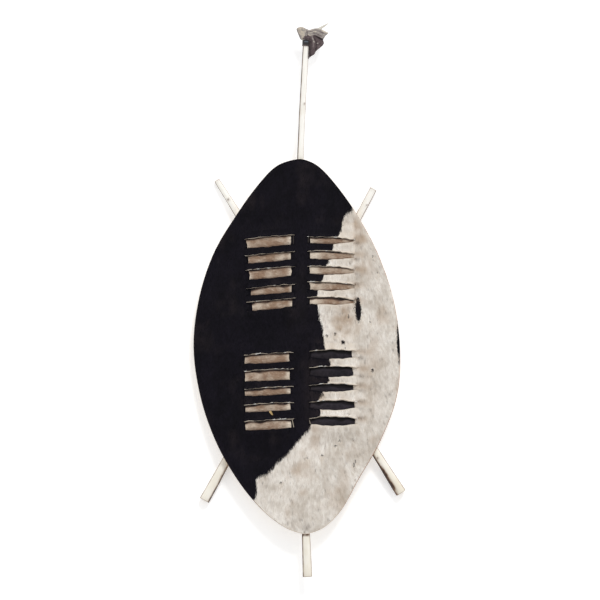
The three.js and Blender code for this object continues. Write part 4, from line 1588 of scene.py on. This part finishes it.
@dataclass
class Lace:
    """A strip of hide laced through one block's slits, with its flesh side out."""

    block: Block
    shape: HideShape = HideShape()
    thickness: float = 2.5
    lines: int = 44
    rows: int = 13
    swell: float = 0.9
    edge_waver: float = 1.3
    edge_roll: float = 0.5
    # How dark the lace is under the lip over it and beside the one below, and how far that shade reaches
    lip_shade: float = 0.95
    foot_shade: float = 0.5
    foot_reach: float = 1.6
    # Hairs grow where the lace shows at least this much, and is shaded less than this
    hair_shown: float = 0.12
    hair_shade: float = 0.4
    hair_stray: float = 0.3
    hair_length: tuple[float, float] = (3.0, 7.0)
    hair_sunk: float = 0.25

    def grid(self) -> tuple[np.ndarray, np.ndarray, np.ndarray, np.ndarray]:
        """The lace's middle surface from its upper tail's end down.

        Returns:
            Its points, how far across the lace each is, how far inside an exposed stretch each is, and how
            shaded.
        """
        levels = self.block.levels()
        across = np.linspace(0, 1, self.lines)
        rows, shown, shade = [], [], []
        for index, (above, below) in enumerate(zip(levels, levels[1:])):
            exposed = above.cut and below.cut and above.below < 0
            high = above.y - below.y
            for share in np.linspace(0, 1, self.rows)[min(index, 1) :]:
                ends = []
                for level in (above, below):
                    _, outer, inner, _, _ = self.block.stations(level.y)
                    distance = mix(inner, outer, across)
                    ends.append(np.stack([distance, self.block.slanted(level, distance)]))
                place = mix(ends[0], ends[1], share)
                drop = np.full(self.lines, mix(above.drop, below.drop, share))
                rows.append(np.stack([self.block.side * place[0], place[1], drop]))
                shown.append(np.full(self.lines, math.sin(math.pi * share) if exposed else 0.0))
                if exposed:
                    waver = 1 + 0.55 * lattice(across * 6, across * 0 + index, 60)
                    reach = self.block.shades[(index - 2) // 2] * waver
                    over = self.lip_shade * bell((share * high / reach) ** 2)
                    beside = self.foot_shade * bell((1 - share) * high / self.foot_reach)
                    shade.append(np.maximum(over, beside))
                else:
                    shade.append(np.full(self.lines, self.lip_shade))
        grid, shown = np.array(rows), np.array(shown)
        x, y = grid[:, 0], grid[:, 1]
        seed = 61 + int(self.block.first_pair) % 7
        side_waver = self.edge_waver * lattice(y / 9, x * 0 + self.block.side, seed)
        near_edge = np.abs(across * 2 - 1) ** 6
        x = x + side_waver * near_edge * np.sign(across - 0.5) * self.block.side
        wrinkle = 0.22 * lattice(x / 7, y / 3.2, 62) + 0.3 * lattice(x / 17, y / 7, 63)
        z = self.shape.middle(x, y) - grid[:, 2] + shown * (self.swell + wrinkle)
        z = z + 0.12 * lattice(x / 9, y / 9, 64)
        return np.stack([x, y, z], axis=-1), np.broadcast_to(across, x.shape), shown, np.array(shade)

    def build(self, place: Place, front: bpy.types.Material, back: bpy.types.Material) -> bpy.types.Object:
        """Makes the lace.

        Args:
            place: Where the maker's frame is.
            front: The finish of its outer side.
            back: The finish of its inner side.

        Returns:
            The lace.
        """
        points, across, _, shade = self.grid()
        half = self.thickness / 2 - self.edge_roll * np.abs(across * 2 - 1) ** 10
        up = np.stack([0 * across, 0 * across, half], axis=-1)
        faces = net(*across.shape)
        if self.block.side > 0:
            faces = flipped(faces)
        fronts = len(faces)
        everything, faces = closed_sheet((points + up).reshape(-1, 3), (points - up).reshape(-1, 3), faces)
        bright = 0.9 * bell(across / self.block.bright_end) + 0.4 * np.exp(-(1 - across) / 0.05)
        patchy = 0.34 * lattice(points[..., 0] / 26, points[..., 1] / 17, 65) + 0.16
        # The painted shadow under the lips, which darkens the lace through the values below
        edge = shade * (0.85 + 0.3 * lattice(points[..., 0] / 8, points[..., 1] / 8, 66))
        values = {
            "brightness": bright + patchy,
            "shadow": edge,
            "tone": 0.45 + 0.8 * patchy - edge * 0.4,
            "warmth": 0 * edge,
            "soil": edge * 1.2,
        }
        values = {key: np.tile(np.clip(value, 0, 1).ravel(), 2) for key, value in values.items()}
        indices = [0] * fronts + [1] * (len(faces) - fronts)
        name = self.block.lace.replace("lace", "hide_lace")
        return make_mesh(name, place.row(everything), faces, [front, back], indices, values)

    def hairs(
        self, place: Place, coat: HairCoat, finish: bpy.types.Material, count: int = 6500
    ) -> bpy.types.Object:
        """Makes short hairs over the exposed stretches of a lace whose hair side is out."""
        chance = np.random.default_rng(71)
        points, _, shown, shade = self.grid()
        haired = (shown[:-1, :-1] > self.hair_shown) & (shade[:-1, :-1] < self.hair_shade)
        chosen = np.argwhere(haired)
        row, line = chosen[chance.integers(len(chosen), size=count)].T
        root = on_grid(points, row, line, chance.random(count), chance.random(count))
        root[:, 2] -= self.hair_sunk
        swirl = 0.5 * lattice(root[:, 0] / 15, root[:, 1] / 15, 72)
        angle = -math.pi / 2 + swirl + chance.normal(0, self.hair_stray, count)
        way = np.stack([np.cos(angle), np.sin(angle)], axis=-1)
        length = chance.uniform(*self.hair_length, count)
        return coat.strands("black_lace_hairs", place, root, way, length, finish, chance)


@dataclass(frozen=True)
class Sliver:
    """A torn sliver of rawhide that hangs out of a slit in the lower left. Places are photo pixels."""

    coat: Coat = Coat()
    shape: HideShape = HideShape()
    spine: tuple[tuple[float, float, float], ...] = (
        (270.0, 410.8, 2.0), (270.5, 411.9, 2.3), (271.3, 413.1, 1.8), (272.3, 414.5, 1.3),
        (272.7, 415.1, 0.6),
    )
    over_hide: float = 7.2
    curl: float = 1.1
    fall: float = 0.35
    thickness: float = 0.8

    def build(self, place: Place, finish: bpy.types.Material) -> bpy.types.Object:
        """Makes the sliver, bent over along its length and curled across it."""
        shares = np.linspace(-1, 1, 7)
        rows = []
        for index, (px, py, wide) in enumerate(self.spine):
            middle = self.coat.to_hide(np.array([px, py]))
            x = middle[0] + shares * wide * PIXEL / 2
            y = middle[1] + shares * wide * PIXEL / 5
            high = self.over_hide + self.curl * shares**2 - self.fall * index
            rows.append(np.column_stack([x, y, self.shape.middle(x, y) + high]))
        front = np.vstack(rows)
        faces = net(len(rows), len(shares), down=True)
        points, faces = closed_sheet(front, front - [0, 0, self.thickness], faces)
        return make_mesh("rawhide_sliver", place.row(points), faces, [finish])


# Cords


def sweep(
    name: str,
    path: np.ndarray,
    radius: float,
    closed: bool,
    finish: bpy.types.Material,
    place: Place,
    plies: int = 2,
    lay: float = 7.0,
    sides: int = 14,
    groove_depth: float = 0.26,
) -> bpy.types.Object:
    """Makes a twisted cord along a path.

    Args:
        name: The piece's name.
        path: Points along its middle.
        radius: Half its thickness.
        closed: Whether it joins up into a ring.
        finish: Its finish.
        place: Where the maker's frame is.
        plies: How many plies are twisted together.
        lay: The length over which the plies go round once.
        sides: The points round it.
        groove_depth: How deep the grooves between plies are, as a share of the radius.

    Returns:
        The cord.
    """
    count = len(path)
    ahead = np.roll(path, -1, axis=0) if closed else np.vstack([path[1:], path[-1:]])
    behind = np.roll(path, 1, axis=0) if closed else np.vstack([path[:1], path[:-1]])
    tangent = ahead - behind
    tangent /= np.linalg.norm(tangent, axis=1, keepdims=True)
    normals = np.zeros_like(path)
    start = np.cross(tangent[0], [0.0, 0.0, 1.0])
    normals[0] = start / np.linalg.norm(start)
    for index in range(1, count):
        carried = normals[index - 1] - tangent[index] * (normals[index - 1] @ tangent[index])
        normals[index] = carried / np.linalg.norm(carried)
    other = np.cross(tangent, normals)
    steps = np.linalg.norm(np.diff(path, axis=0), axis=1)
    along = np.concatenate([[0], np.cumsum(steps)])
    whole = along[-1] + (np.linalg.norm(path[0] - path[-1]) if closed else 0)
    leftover = 0.0
    if closed:
        back = normals[-1] - tangent[0] * (normals[-1] @ tangent[0])
        leftover = math.atan2(float(np.cross(normals[0], back) @ tangent[0]), float(normals[0] @ back))
        lay = whole / max(1, round(whole / lay))
    round_it = np.linspace(0, 2 * math.pi, sides, endpoint=False)
    angle = round_it[None, :] - (leftover * np.arange(count) / count)[:, None]
    phase = round_it[None, :] * plies - 2 * math.pi * plies * (along / lay)[:, None]
    groove = (1 - np.abs(np.cos(phase / 2))) ** 2
    reach = radius * (1 - groove_depth * groove)
    ring = normals[:, None] * (np.cos(angle) * reach)[..., None]
    ring = ring + other[:, None] * (np.sin(angle) * reach)[..., None]
    points = (path[:, None] + ring).reshape(-1, 3)
    faces = net(count, sides, True, closed)
    if not closed:
        faces += [tuple(range(sides))[::-1], tuple(range((count - 1) * sides, count * sides))]
    values = {"groove": groove.ravel()}
    return make_mesh(name, place.row(points), faces, [finish], None, values, 70)


def hull_point(angle: float, y: float, sticks: list[Stick], grow: float) -> np.ndarray:
    """The point furthest out in one direction, seen along the shield, for a cord round the sticks."""
    direction = np.array([math.cos(angle), math.sin(angle)])
    best, reach = None, -math.inf
    for stick in sticks:
        share = stick.share_at(y)
        middle = stick.axis(share)
        high = float(stick.radius(share)) + grow
        wide = high / math.cos(math.radians(stick.lean))
        spread = math.hypot(wide * direction[0], high * direction[1])
        here = middle[0] * direction[0] + middle[2] * direction[1] + spread
        if here > reach:
            reach = here
            aside, up = wide * wide * direction[0] / spread, high * high * direction[1] / spread
            best = [middle[0] + aside, y, middle[2] + up]
    return np.array(best)


def rounded_path(points: np.ndarray, closed: bool, step: float) -> np.ndarray:
    """A smooth path through points, with an even step."""
    if closed:
        points = np.vstack([points[-1:], points, points[:2]])
    else:
        points = np.vstack([2 * points[:1] - points[1:2], points, 2 * points[-1:] - points[-2:-1]])
    found = []
    for before, here, ahead, beyond in zip(points, points[1:], points[2:], points[3:]):
        far = np.linalg.norm(ahead - here)
        for share in np.arange(0, 1, 1 / max(2, math.ceil(far / step))):
            found.append(spline(before, here, ahead, beyond, share))
    if not closed:
        found.append(points[-2])
    return np.array(found)


@dataclass
class Cords:
    """The lashing round the three sticks and the two ties that hold the hide to the centre stick."""

    shape: HideShape = HideShape()
    lash_cord: float = 2.6
    lash_turns: int = 5
    lash_pitch: float = 5.4
    turn_steps: int = 72
    lash_step: float = 4.0
    lash_mesh_step: float = 1.1
    tie_mesh_step: float = 1.0
    tie_cord: float = 2.0
    gap: float = 0.5
    behind: tuple[float, ...] = (205, 237, 270, 303, 335)

    def lashing(self, place: Place, finish: bpy.types.Material) -> bpy.types.Object:
        """Makes the lashing."""
        path: list[np.ndarray] = []
        grow = self.lash_cord / 2 + self.gap
        for step in range(self.lash_turns * self.turn_steps + 1):
            turns = step / self.turn_steps
            y = CENTRE_STICK.crossing[1] + (self.lash_turns / 2 - turns) * self.lash_pitch
            point = hull_point(-2 * math.pi * turns - math.pi / 2, y, STICKS, grow)
            if not path or np.linalg.norm(point - path[-1]) > self.lash_step:
                path.append(point)
        track = rounded_path(np.array(path), False, self.lash_mesh_step)
        return sweep("sinew_lashing", track, self.lash_cord / 2, False, finish, place)

    def tie(
        self, name: str, left: Block, right: Block, place: Place, finish: bpy.types.Material
    ) -> bpy.types.Object:
        """Makes one tie over the inner end of a narrow band on each side and behind the centre stick."""
        corners = []
        for block in (left, right):
            slits = block.levels()[2 + 2 * block.tied_pair : 4 + 2 * block.tied_pair]
            for level, way in zip(slits, (-1, 1)):
                distance = float(block.stations(level.y)[3]) + way * block.tie_slant / 2
                x, y = block.side * distance, float(block.slanted(level, np.array(distance)))
                corners.append(np.array([x, y, float(self.shape.middle(np.array(x), np.array(y)))]))
        left_upper, left_lower, right_upper, right_lower = corners
        half = self.tie_cord / 2
        sunk = left.lift * (1 - left.tie_share)
        front = self.shape.thickness / 2 - sunk + half + self.gap
        back = -self.shape.thickness / 2 - sunk - half - self.gap

        def over(start: np.ndarray, end: np.ndarray) -> list[np.ndarray]:
            way = np.array([0, math.copysign(half, end[1] - start[1]), 0])
            high, low = np.array([0, 0, front]), np.array([0, 0, back])
            top = [start + way + high, (start + end) / 2 + high, end - way + high]
            return [start + low, start, *top, end, end + low]

        def under(start: np.ndarray, end: np.ndarray) -> list[np.ndarray]:
            found = []
            for index, angle in enumerate(self.behind):
                y = mix(start[1], end[1], (index + 1) / (len(self.behind) + 1))
                found.append(hull_point(math.radians(angle), y, [CENTRE_STICK], half + self.gap))
            return found

        points = [
            *over(left_lower, left_upper), *under(left_upper, right_upper),
            *over(right_upper, right_lower), *under(left_lower, right_lower)[::-1],
        ]
        track = rounded_path(np.array(points), True, self.tie_mesh_step)
        return sweep(name, track, half, True, finish, place, lay=6.0)


# The tuft


@dataclass(frozen=True)
class Scrap:
    """One folded scrap of the tuft: its outline in photo pixels, how high it lies and how light it is."""

    outline: tuple[tuple[float, float], ...]
    height: float
    light: float
    seed: int


@dataclass
class Tuft:
    """The folded scraps of hide bound round the top of the centre stick."""

    top: tuple[float, float] = (306.57, 34.84)
    cover: float = 11.7
    fit: float = 0.4
    wall: float = 2.6
    band_length: float = 15.0
    band_thickness: float = 1.6
    band_gap: float = 0.3
    band_turns: int = 5
    band_sides: int = 48
    band_rows: int = 41
    wrap_sides: int = 40
    scrap_thickness: float = 1.5
    # How far a scrap's edge turns down
    edge_drop: float = 1.4
    mesh_step: float = 1.3
    rings: int = 14
    relief: float = 4.0
    # How high the scraps stand over the stick's middle, and how far to each side that reaches
    crown: float = 6.2
    crown_reach: float = 17.2
    # The rings of the wrap's outside, which are gathered in pleats
    pleated: range = range(1, 7)
    scraps: tuple[Scrap, ...] = (
        Scrap(
            ((296.5, 29), (299, 27.2), (302, 26.8), (306, 28.8), (309.2, 30.4), (308.8, 34), (305.5, 38.8),
             (301.2, 39.8), (298.6, 35)), 3.4, 0.75, 1,
        ),
        Scrap(
            ((311, 31.5), (316.2, 28.9), (322.3, 25.6), (328.9, 22.9), (324.6, 26.6), (320.6, 29.4),
             (315, 32.4)), 4.2, 1.0, 2,
        ),
        Scrap(
            ((306.8, 32), (309, 30.2), (315.5, 28.3), (320.4, 28.8), (324.5, 30.8), (328.1, 32.9),
             (325.2, 36), (323, 38.8), (318, 37), (313, 35.4), (308.5, 35.8)), 5.6, 0.6, 3,
        ),
        Scrap(
            ((312, 35), (318, 35.8), (323, 38), (322.4, 40.6), (318, 42.2), (313.2, 41.4)), 3.6, 0.27, 4,
        ),
        Scrap(
            ((313.6, 40), (318.5, 40.4), (322.4, 39.6), (323.9, 42.6), (322.8, 45.2), (319.2, 48.4),
             (316.4, 50.8), (313.4, 53), (312, 46)), 3.2, 0.3, 5,
        ),
        Scrap(
            ((308.8, 39.6), (311, 38.2), (313.8, 39.2), (315.7, 43.5), (316, 49.5), (314.6, 53.9),
             (311.6, 56), (309.4, 57.6), (308.3, 59), (308.5, 50)), 3.8, 0.3, 6,
        ),
        Scrap(
            ((302.8, 38.8), (304.8, 36), (307.8, 34), (312, 33.8), (315.8, 36), (316, 39), (312, 40.8),
             (307, 39.8)), 5.4, 0.33, 7,
        ),
    )
    # Ridges and creases, as painted highlights and painted shade: both ends, half-width and how light or
    # dark, in photo pixels
    strokes: tuple[tuple[float, float, float, float, float, float], ...] = (
        (296.6, 29, 300.6, 39, 0.7, -0.2), (300.4, 30, 303.2, 38, 0.9, 0.06),
        (304.2, 28.6, 305.6, 35.5, 0.9, -0.06), (298, 28.2, 303, 27.6, 0.7, 0.06),
        (306.8, 30, 306.4, 35.5, 0.8, -0.2),
        (309, 30.4, 316, 28.9, 0.6, 0.1), (316, 28.9, 321, 29.4, 0.6, 0.16),
        (309, 31.8, 316, 30.2, 0.5, -0.13), (316, 30.2, 323.8, 33.2, 0.5, -0.15),
        (308.4, 33.2, 315.5, 31.5, 0.5, 0.13), (315.5, 31.5, 324.8, 35, 0.5, 0.1),
        (309, 34.7, 314, 32.9, 0.5, -0.14), (314, 32.9, 322, 36.3, 0.5, -0.2),
        (322, 30.4, 327.6, 33, 0.8, 0.26), (314.6, 34.2, 322.6, 38, 0.45, 0.1),
        (314.9, 35.3, 322.4, 39.5, 0.9, -0.34), (308.6, 35.1, 312.6, 35.9, 0.9, 0.2),
        (305.4, 37.8, 309.6, 39.3, 0.6, -0.2), (312.6, 37.6, 313.9, 41.5, 0.8, 0.24),
        (313.9, 41.5, 313.2, 46.5, 0.8, 0.22), (311, 40.5, 311.4, 48, 1.0, -0.16),
        (309.4, 42, 309.9, 57, 1.3, -0.28), (316.3, 42, 315.9, 50, 0.8, -0.2),
        (316.9, 43.4, 317.9, 43.2, 0.55, 0.5), (318.4, 45.5, 320.5, 42.5, 0.8, -0.12),
        (322.9, 42, 316.9, 49.8, 0.6, 0.1), (313.4, 37, 315.2, 40.5, 0.7, -0.24),
        (317.5, 39.6, 321.4, 40.6, 0.7, 0.1),
    )

    def painted(self, x: np.ndarray, y: np.ndarray) -> np.ndarray:
        """How much painted highlight on the ridges and painted shade in the creases each place gets, in
        millimetres from the stick's top end.
        """
        px, py = self.top[0] + x / PIXEL, self.top[1] - y / PIXEL
        total = np.zeros_like(px)
        for ax, ay, bx, by, wide, strength in self.strokes:
            long = (bx - ax) ** 2 + (by - ay) ** 2
            share = np.clip(((px - ax) * (bx - ax) + (py - ay) * (by - ay)) / long, 0, 1)
            away = np.hypot(px - ax - share * (bx - ax), py - ay - share * (by - ay))
            total += strength * bell(away / wide)
        return total

    def scrap(self, scrap: Scrap) -> tuple[np.ndarray, list[Face], np.ndarray]:
        """Makes one folded scrap as a closed sheet.

        Args:
            scrap: The scrap.

        Returns:
            Its points from the stick's top end, its faces and how light each point is.
        """
        spots = np.array(scrap.outline)
        outline = np.column_stack([spots[:, 0] - self.top[0], self.top[1] - spots[:, 1]]) * PIXEL
        closed = rounded_path(np.column_stack([outline, np.zeros(len(outline))]), True, self.mesh_step)[:, :2]
        swing = np.roll(closed, -1, axis=0) - closed
        if float(np.sum(closed[:, 0] * swing[:, 1] - closed[:, 1] * swing[:, 0])) > 0:
            closed = closed[::-1]
        heart = closed.mean(0)
        rings = 1 - (np.arange(self.rings) / self.rings) ** 1.2
        count = len(closed)
        flat = np.vstack([(heart + rings[:, None, None] * (closed - heart)).reshape(-1, 2), heart])
        x, y = flat[:, 0], flat[:, 1]
        away = np.append(np.repeat(rings, count), 0.0)
        crown = self.crown * bell(x / self.crown_reach) - 0.1 * np.abs(x)
        painted = self.painted(x, y)
        folds = 0.7 * lattice(x / 7, y / 7, scrap.seed + 80) + 0.35 * lattice(x / 3, y / 3, scrap.seed + 85)
        raised = self.relief * np.clip(painted, -0.4, 0.4)
        lift = crown + scrap.height + folds + raised - self.edge_drop * away**6
        half = self.scrap_thickness / 2 * (1 - 0.4 * away**6)
        front, back = np.column_stack([x, y, lift + half]), np.column_stack([x, y, lift - half])
        inner = (self.rings - 1) * count
        faces = flipped(net(self.rings, count, True))
        faces += [(inner + (line + 1) % count, inner + line, len(flat) - 1) for line in range(count)]
        shade = scrap.light + painted + 0.1 * lattice(x / 3.5, y / 3.5, scrap.seed + 90)
        shade = shade - 0.12 * (away > 0.97)
        return *closed_sheet(front, back, faces), np.tile(shade, 2)

    def build(self, place: Place, finish: bpy.types.Material) -> bpy.types.Object:
        """Makes the tuft: its scraps, and the part that wraps the stick's top."""
        top = CENTRE_STICK.axis(np.array(0.0))
        scraps = [self.scrap(scrap) for scrap in self.scraps]
        parts = [(points + top, faces, light) for points, faces, light in scraps] + [self.wrap()]
        everything: list[Face] = []
        offset = 0
        for points, faces, _ in parts:
            everything += moved_on(faces, offset)
            offset += len(points)
        spots = np.vstack([points for points, _, _ in parts])
        values = {"light": np.clip(np.concatenate([light for _, _, light in parts]), 0, 1)}
        return make_mesh("tuft_of_hide", place.row(spots), everything, [finish], None, values)

    def wrap(self) -> tuple[np.ndarray, list[Face], np.ndarray]:
        """The part that wraps the stick's top: a gathered sleeve closed over its end."""
        bore = float(CENTRE_STICK.radius(np.array(0.0))) + self.fit
        outer, cap = bore + self.wall, -self.fit - self.wall
        profile = [
            (0.1, cap), (bore * 0.6, cap), (bore + 1, -2.2), (outer, 1), (outer, 5), (outer, 9),
            (outer - 0.6, self.cover), (bore, self.cover), (bore, 2), (bore, -self.fit), (0.1, -self.fit),
        ]
        sides = self.wrap_sides
        angle = np.linspace(0, 2 * math.pi, sides, endpoint=False)
        points, shade = [], []
        for index, (radius, along) in enumerate(profile):
            pleats = (0.07 * np.sin(angle * 7 + index) + 0.04 * np.sin(angle * 13)) * (index in self.pleated)
            points.append(self.around(along, angle, radius * (1 + pleats)))
            # Painted shade and highlight that follow the pleats
            shade.append(0.45 + 0.3 * np.sin(angle * 7 + index))
        faces = net(len(profile), sides, True, down=True)
        faces.append(tuple(range(sides)))
        faces.append(tuple(range((len(profile) - 1) * sides, len(profile) * sides))[::-1])
        return np.vstack(points), faces, np.concatenate(shade)

    def around(self, along: float, angle: np.ndarray, reach: np.ndarray | float) -> np.ndarray:
        """Points round the centre stick, at one distance from its top end."""
        return CENTRE_STICK.around(np.array(along / CENTRE_STICK.length), angle, reach)

    def band(self, place: Place, finish: bpy.types.Material) -> bpy.types.Object:
        """Makes the binding: a flat band wound round the stick."""
        start = self.cover + self.band_gap
        inner = float(CENTRE_STICK.radius(np.array(start / CENTRE_STICK.length))) + self.band_gap
        sides, rows = self.band_sides, self.band_rows
        angle = np.linspace(0, 2 * math.pi, sides, endpoint=False)
        points = []
        for row in range(rows):
            turns = (row / (rows - 1)) * self.band_turns + angle / (2 * math.pi)
            step = np.abs((turns % 1) - 0.5) * 2
            reach = inner + self.band_thickness - 0.5 * smooth((step - 0.72) / 0.28)
            points.append(self.around(start + self.band_length * row / (rows - 1), angle, reach))
        for along in (start + self.band_length, start):
            points.append(self.around(along, angle, inner))
        faces = net(rows + 2, sides, True, True, True)
        high, down = np.sin(angle)[None, :], np.append(np.linspace(0, 1, rows), [1, 0])[:, None]
        sheen = bell((high - 0.97) / 0.12, (down - 0.3) / 0.08)
        worn = smooth((down - 0.7) / 0.3) * (0.75 + 0.25 * np.cos(angle * 5))[None, :]
        values = {"sheen": (0.8 * sheen).ravel(), "worn": (0.7 * worn).ravel()}
        return make_mesh("tuft_band", place.row(np.vstack(points)), faces, [finish], None, values, 40)


# The studio


@dataclass(frozen=True)
class Studio:
    """A pale floor, soft light and a camera straight above."""

    aim: tuple[float, float] = (0.0012, 0.0004)
    height: float = 16.05
    lens: float = 400.0
    film: float = 36.0
    clip_end: float = 50.0
    sky: float = 0.74
    sun: float = 1.25
    floor_glow: float = 0.32
    floor_size: float = 14.0
    window: tuple[float, float, float] = (0.8, 2.6, 2.4)
    window_width: float = 14.0

    def build(self) -> None:
        """Sets the scene round the shield."""
        deselect()
        bpy.ops.mesh.primitive_plane_add(size=self.floor_size, location=(0, 0, 0))
        floor = bpy.context.object
        floor.name = "floor"
        finish = Finish("pale_floor")
        glow = {"Emission_Color": (1.0, 1.0, 1.0, 1.0), "Emission_Strength": self.floor_glow}
        floor.data.materials.append(finish.skin((244, 244, 244), 0.9, Specular_IOR_Level=0.1, **glow))
        floor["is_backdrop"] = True
        world = bpy.data.worlds.new("sky")
        world.use_nodes = True
        world.node_tree.nodes["Background"].inputs["Color"].default_value = (1, 1, 1, 1)
        world.node_tree.nodes["Background"].inputs["Strength"].default_value = self.sky
        bpy.context.scene.world = world
        light = bpy.data.lights.new("window", "SUN")
        light.energy, light.angle = self.sun, math.radians(self.window_width)
        lamp = bpy.data.objects.new("window", light)
        lamp.location = self.window
        lamp.rotation_euler = (-lamp.location).to_track_quat("-Z", "Y").to_euler()
        bpy.context.scene.collection.objects.link(lamp)
        view = bpy.data.cameras.new("camera")
        view.lens, view.sensor_width, view.clip_end = self.lens, self.film, self.clip_end
        camera = bpy.data.objects.new("camera", view)
        camera.location = (*self.aim, self.height)
        bpy.context.scene.collection.objects.link(camera)
        bpy.context.scene.camera = camera
        bpy.context.scene.view_settings.view_transform = "Standard"


def main() -> list[list[list[float]]]:
    """Dresses the shield.

    Returns:
        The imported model's box and the dressed one's.
    """
    logging.basicConfig(level=logging.INFO, format="%(name)s: %(message)s")
    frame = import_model()
    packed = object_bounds()
    place = Place.on_hide(frame["nodes"]["hide"])
    log.info("the maker's frame is at %.3f, %.3f", place.right, place.up)
    Studio().build()
    hair = HairedHide().make()
    flesh = Rawhide("flesh_side", (226, 212, 190), (196, 174, 146), (146, 118, 90)).make()
    lip = Rawhide("pale_lip", (222, 212, 198), (168, 152, 134), (104, 88, 74), 0.8, 0.9).make()
    black = Hairs("black_hairs", (8, 7, 11), (23, 20, 29), (49, 42, 44), 0.5, 0.08, (14, 11, 15)).make()
    white = Hairs("white_hairs", (190, 178, 163), (252, 247, 240), (186, 160, 132), 0.6, 0.12).make()
    lace_skin = LaceHide().make()
    short_hair = Hairs("lace_black_hair", (21, 19, 24), (54, 49, 56), (52, 46, 50), 0.6, 0.12, (13, 9, 11))
    lace_hair = short_hair.make()
    sinew = Thong("sinew", (190, 180, 164), (122, 106, 88)).make()
    dark_sinew = Thong("dark_sinew", (72, 62, 56), (36, 30, 30)).make()
    wood, end = PeeledWood().make(), SawnEnd().make()

    hide = Hide()
    settle(hide.build(place, [hair, flesh, CutEdge().make(), lip]), "hide_hair", "hide")
    coat = HairCoat(hide)
    for piece in coat.build(place, black, white):
        settle(piece, "hide_hair")
    for name, block in BLOCKS.items():
        lace = Lace(block)
        if name == "lower_right":
            settle(lace.build(place, lace_hair, flesh), "lace_black_hair", block.lace)
            settle(lace.hairs(place, coat, lace_hair), "lace_black_hair")
        else:
            settle(lace.build(place, lace_skin, flesh), "lace_flesh_side", block.lace)
    yellow = Rawhide("yellow_rawhide", (204, 180, 128), (160, 132, 88), (110, 84, 56)).make()
    settle(Sliver().build(place, yellow), "lace_flesh_side")
    for stick in STICKS:
        settle(stick.build(place, wood, end), "peeled_wood", stick.name)
    cords = Cords()
    settle(cords.lashing(place, sinew), "sinew", "centre_lashing")
    for where, height, cord in (("top", "upper", dark_sinew), ("bottom", "lower", sinew)):
        left, right = BLOCKS[f"{height}_left"], BLOCKS[f"{height}_right"]
        tie = cords.tie(f"sinew_tie_{where}", left, right, place, cord)
        settle(tie, "sinew", f"stick_tie_{where}")
    tuft = Tuft()
    settle(tuft.build(place, TuftHide().make()), "tuft_hide", "tuft")
    settle(tuft.band(place, BlackBand().make()), "black_band", "tuft_binding")
    return [[list(corner) for corner in packed], [list(corner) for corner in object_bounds()]]


if __name__ == "__main__":
    boxes = main()
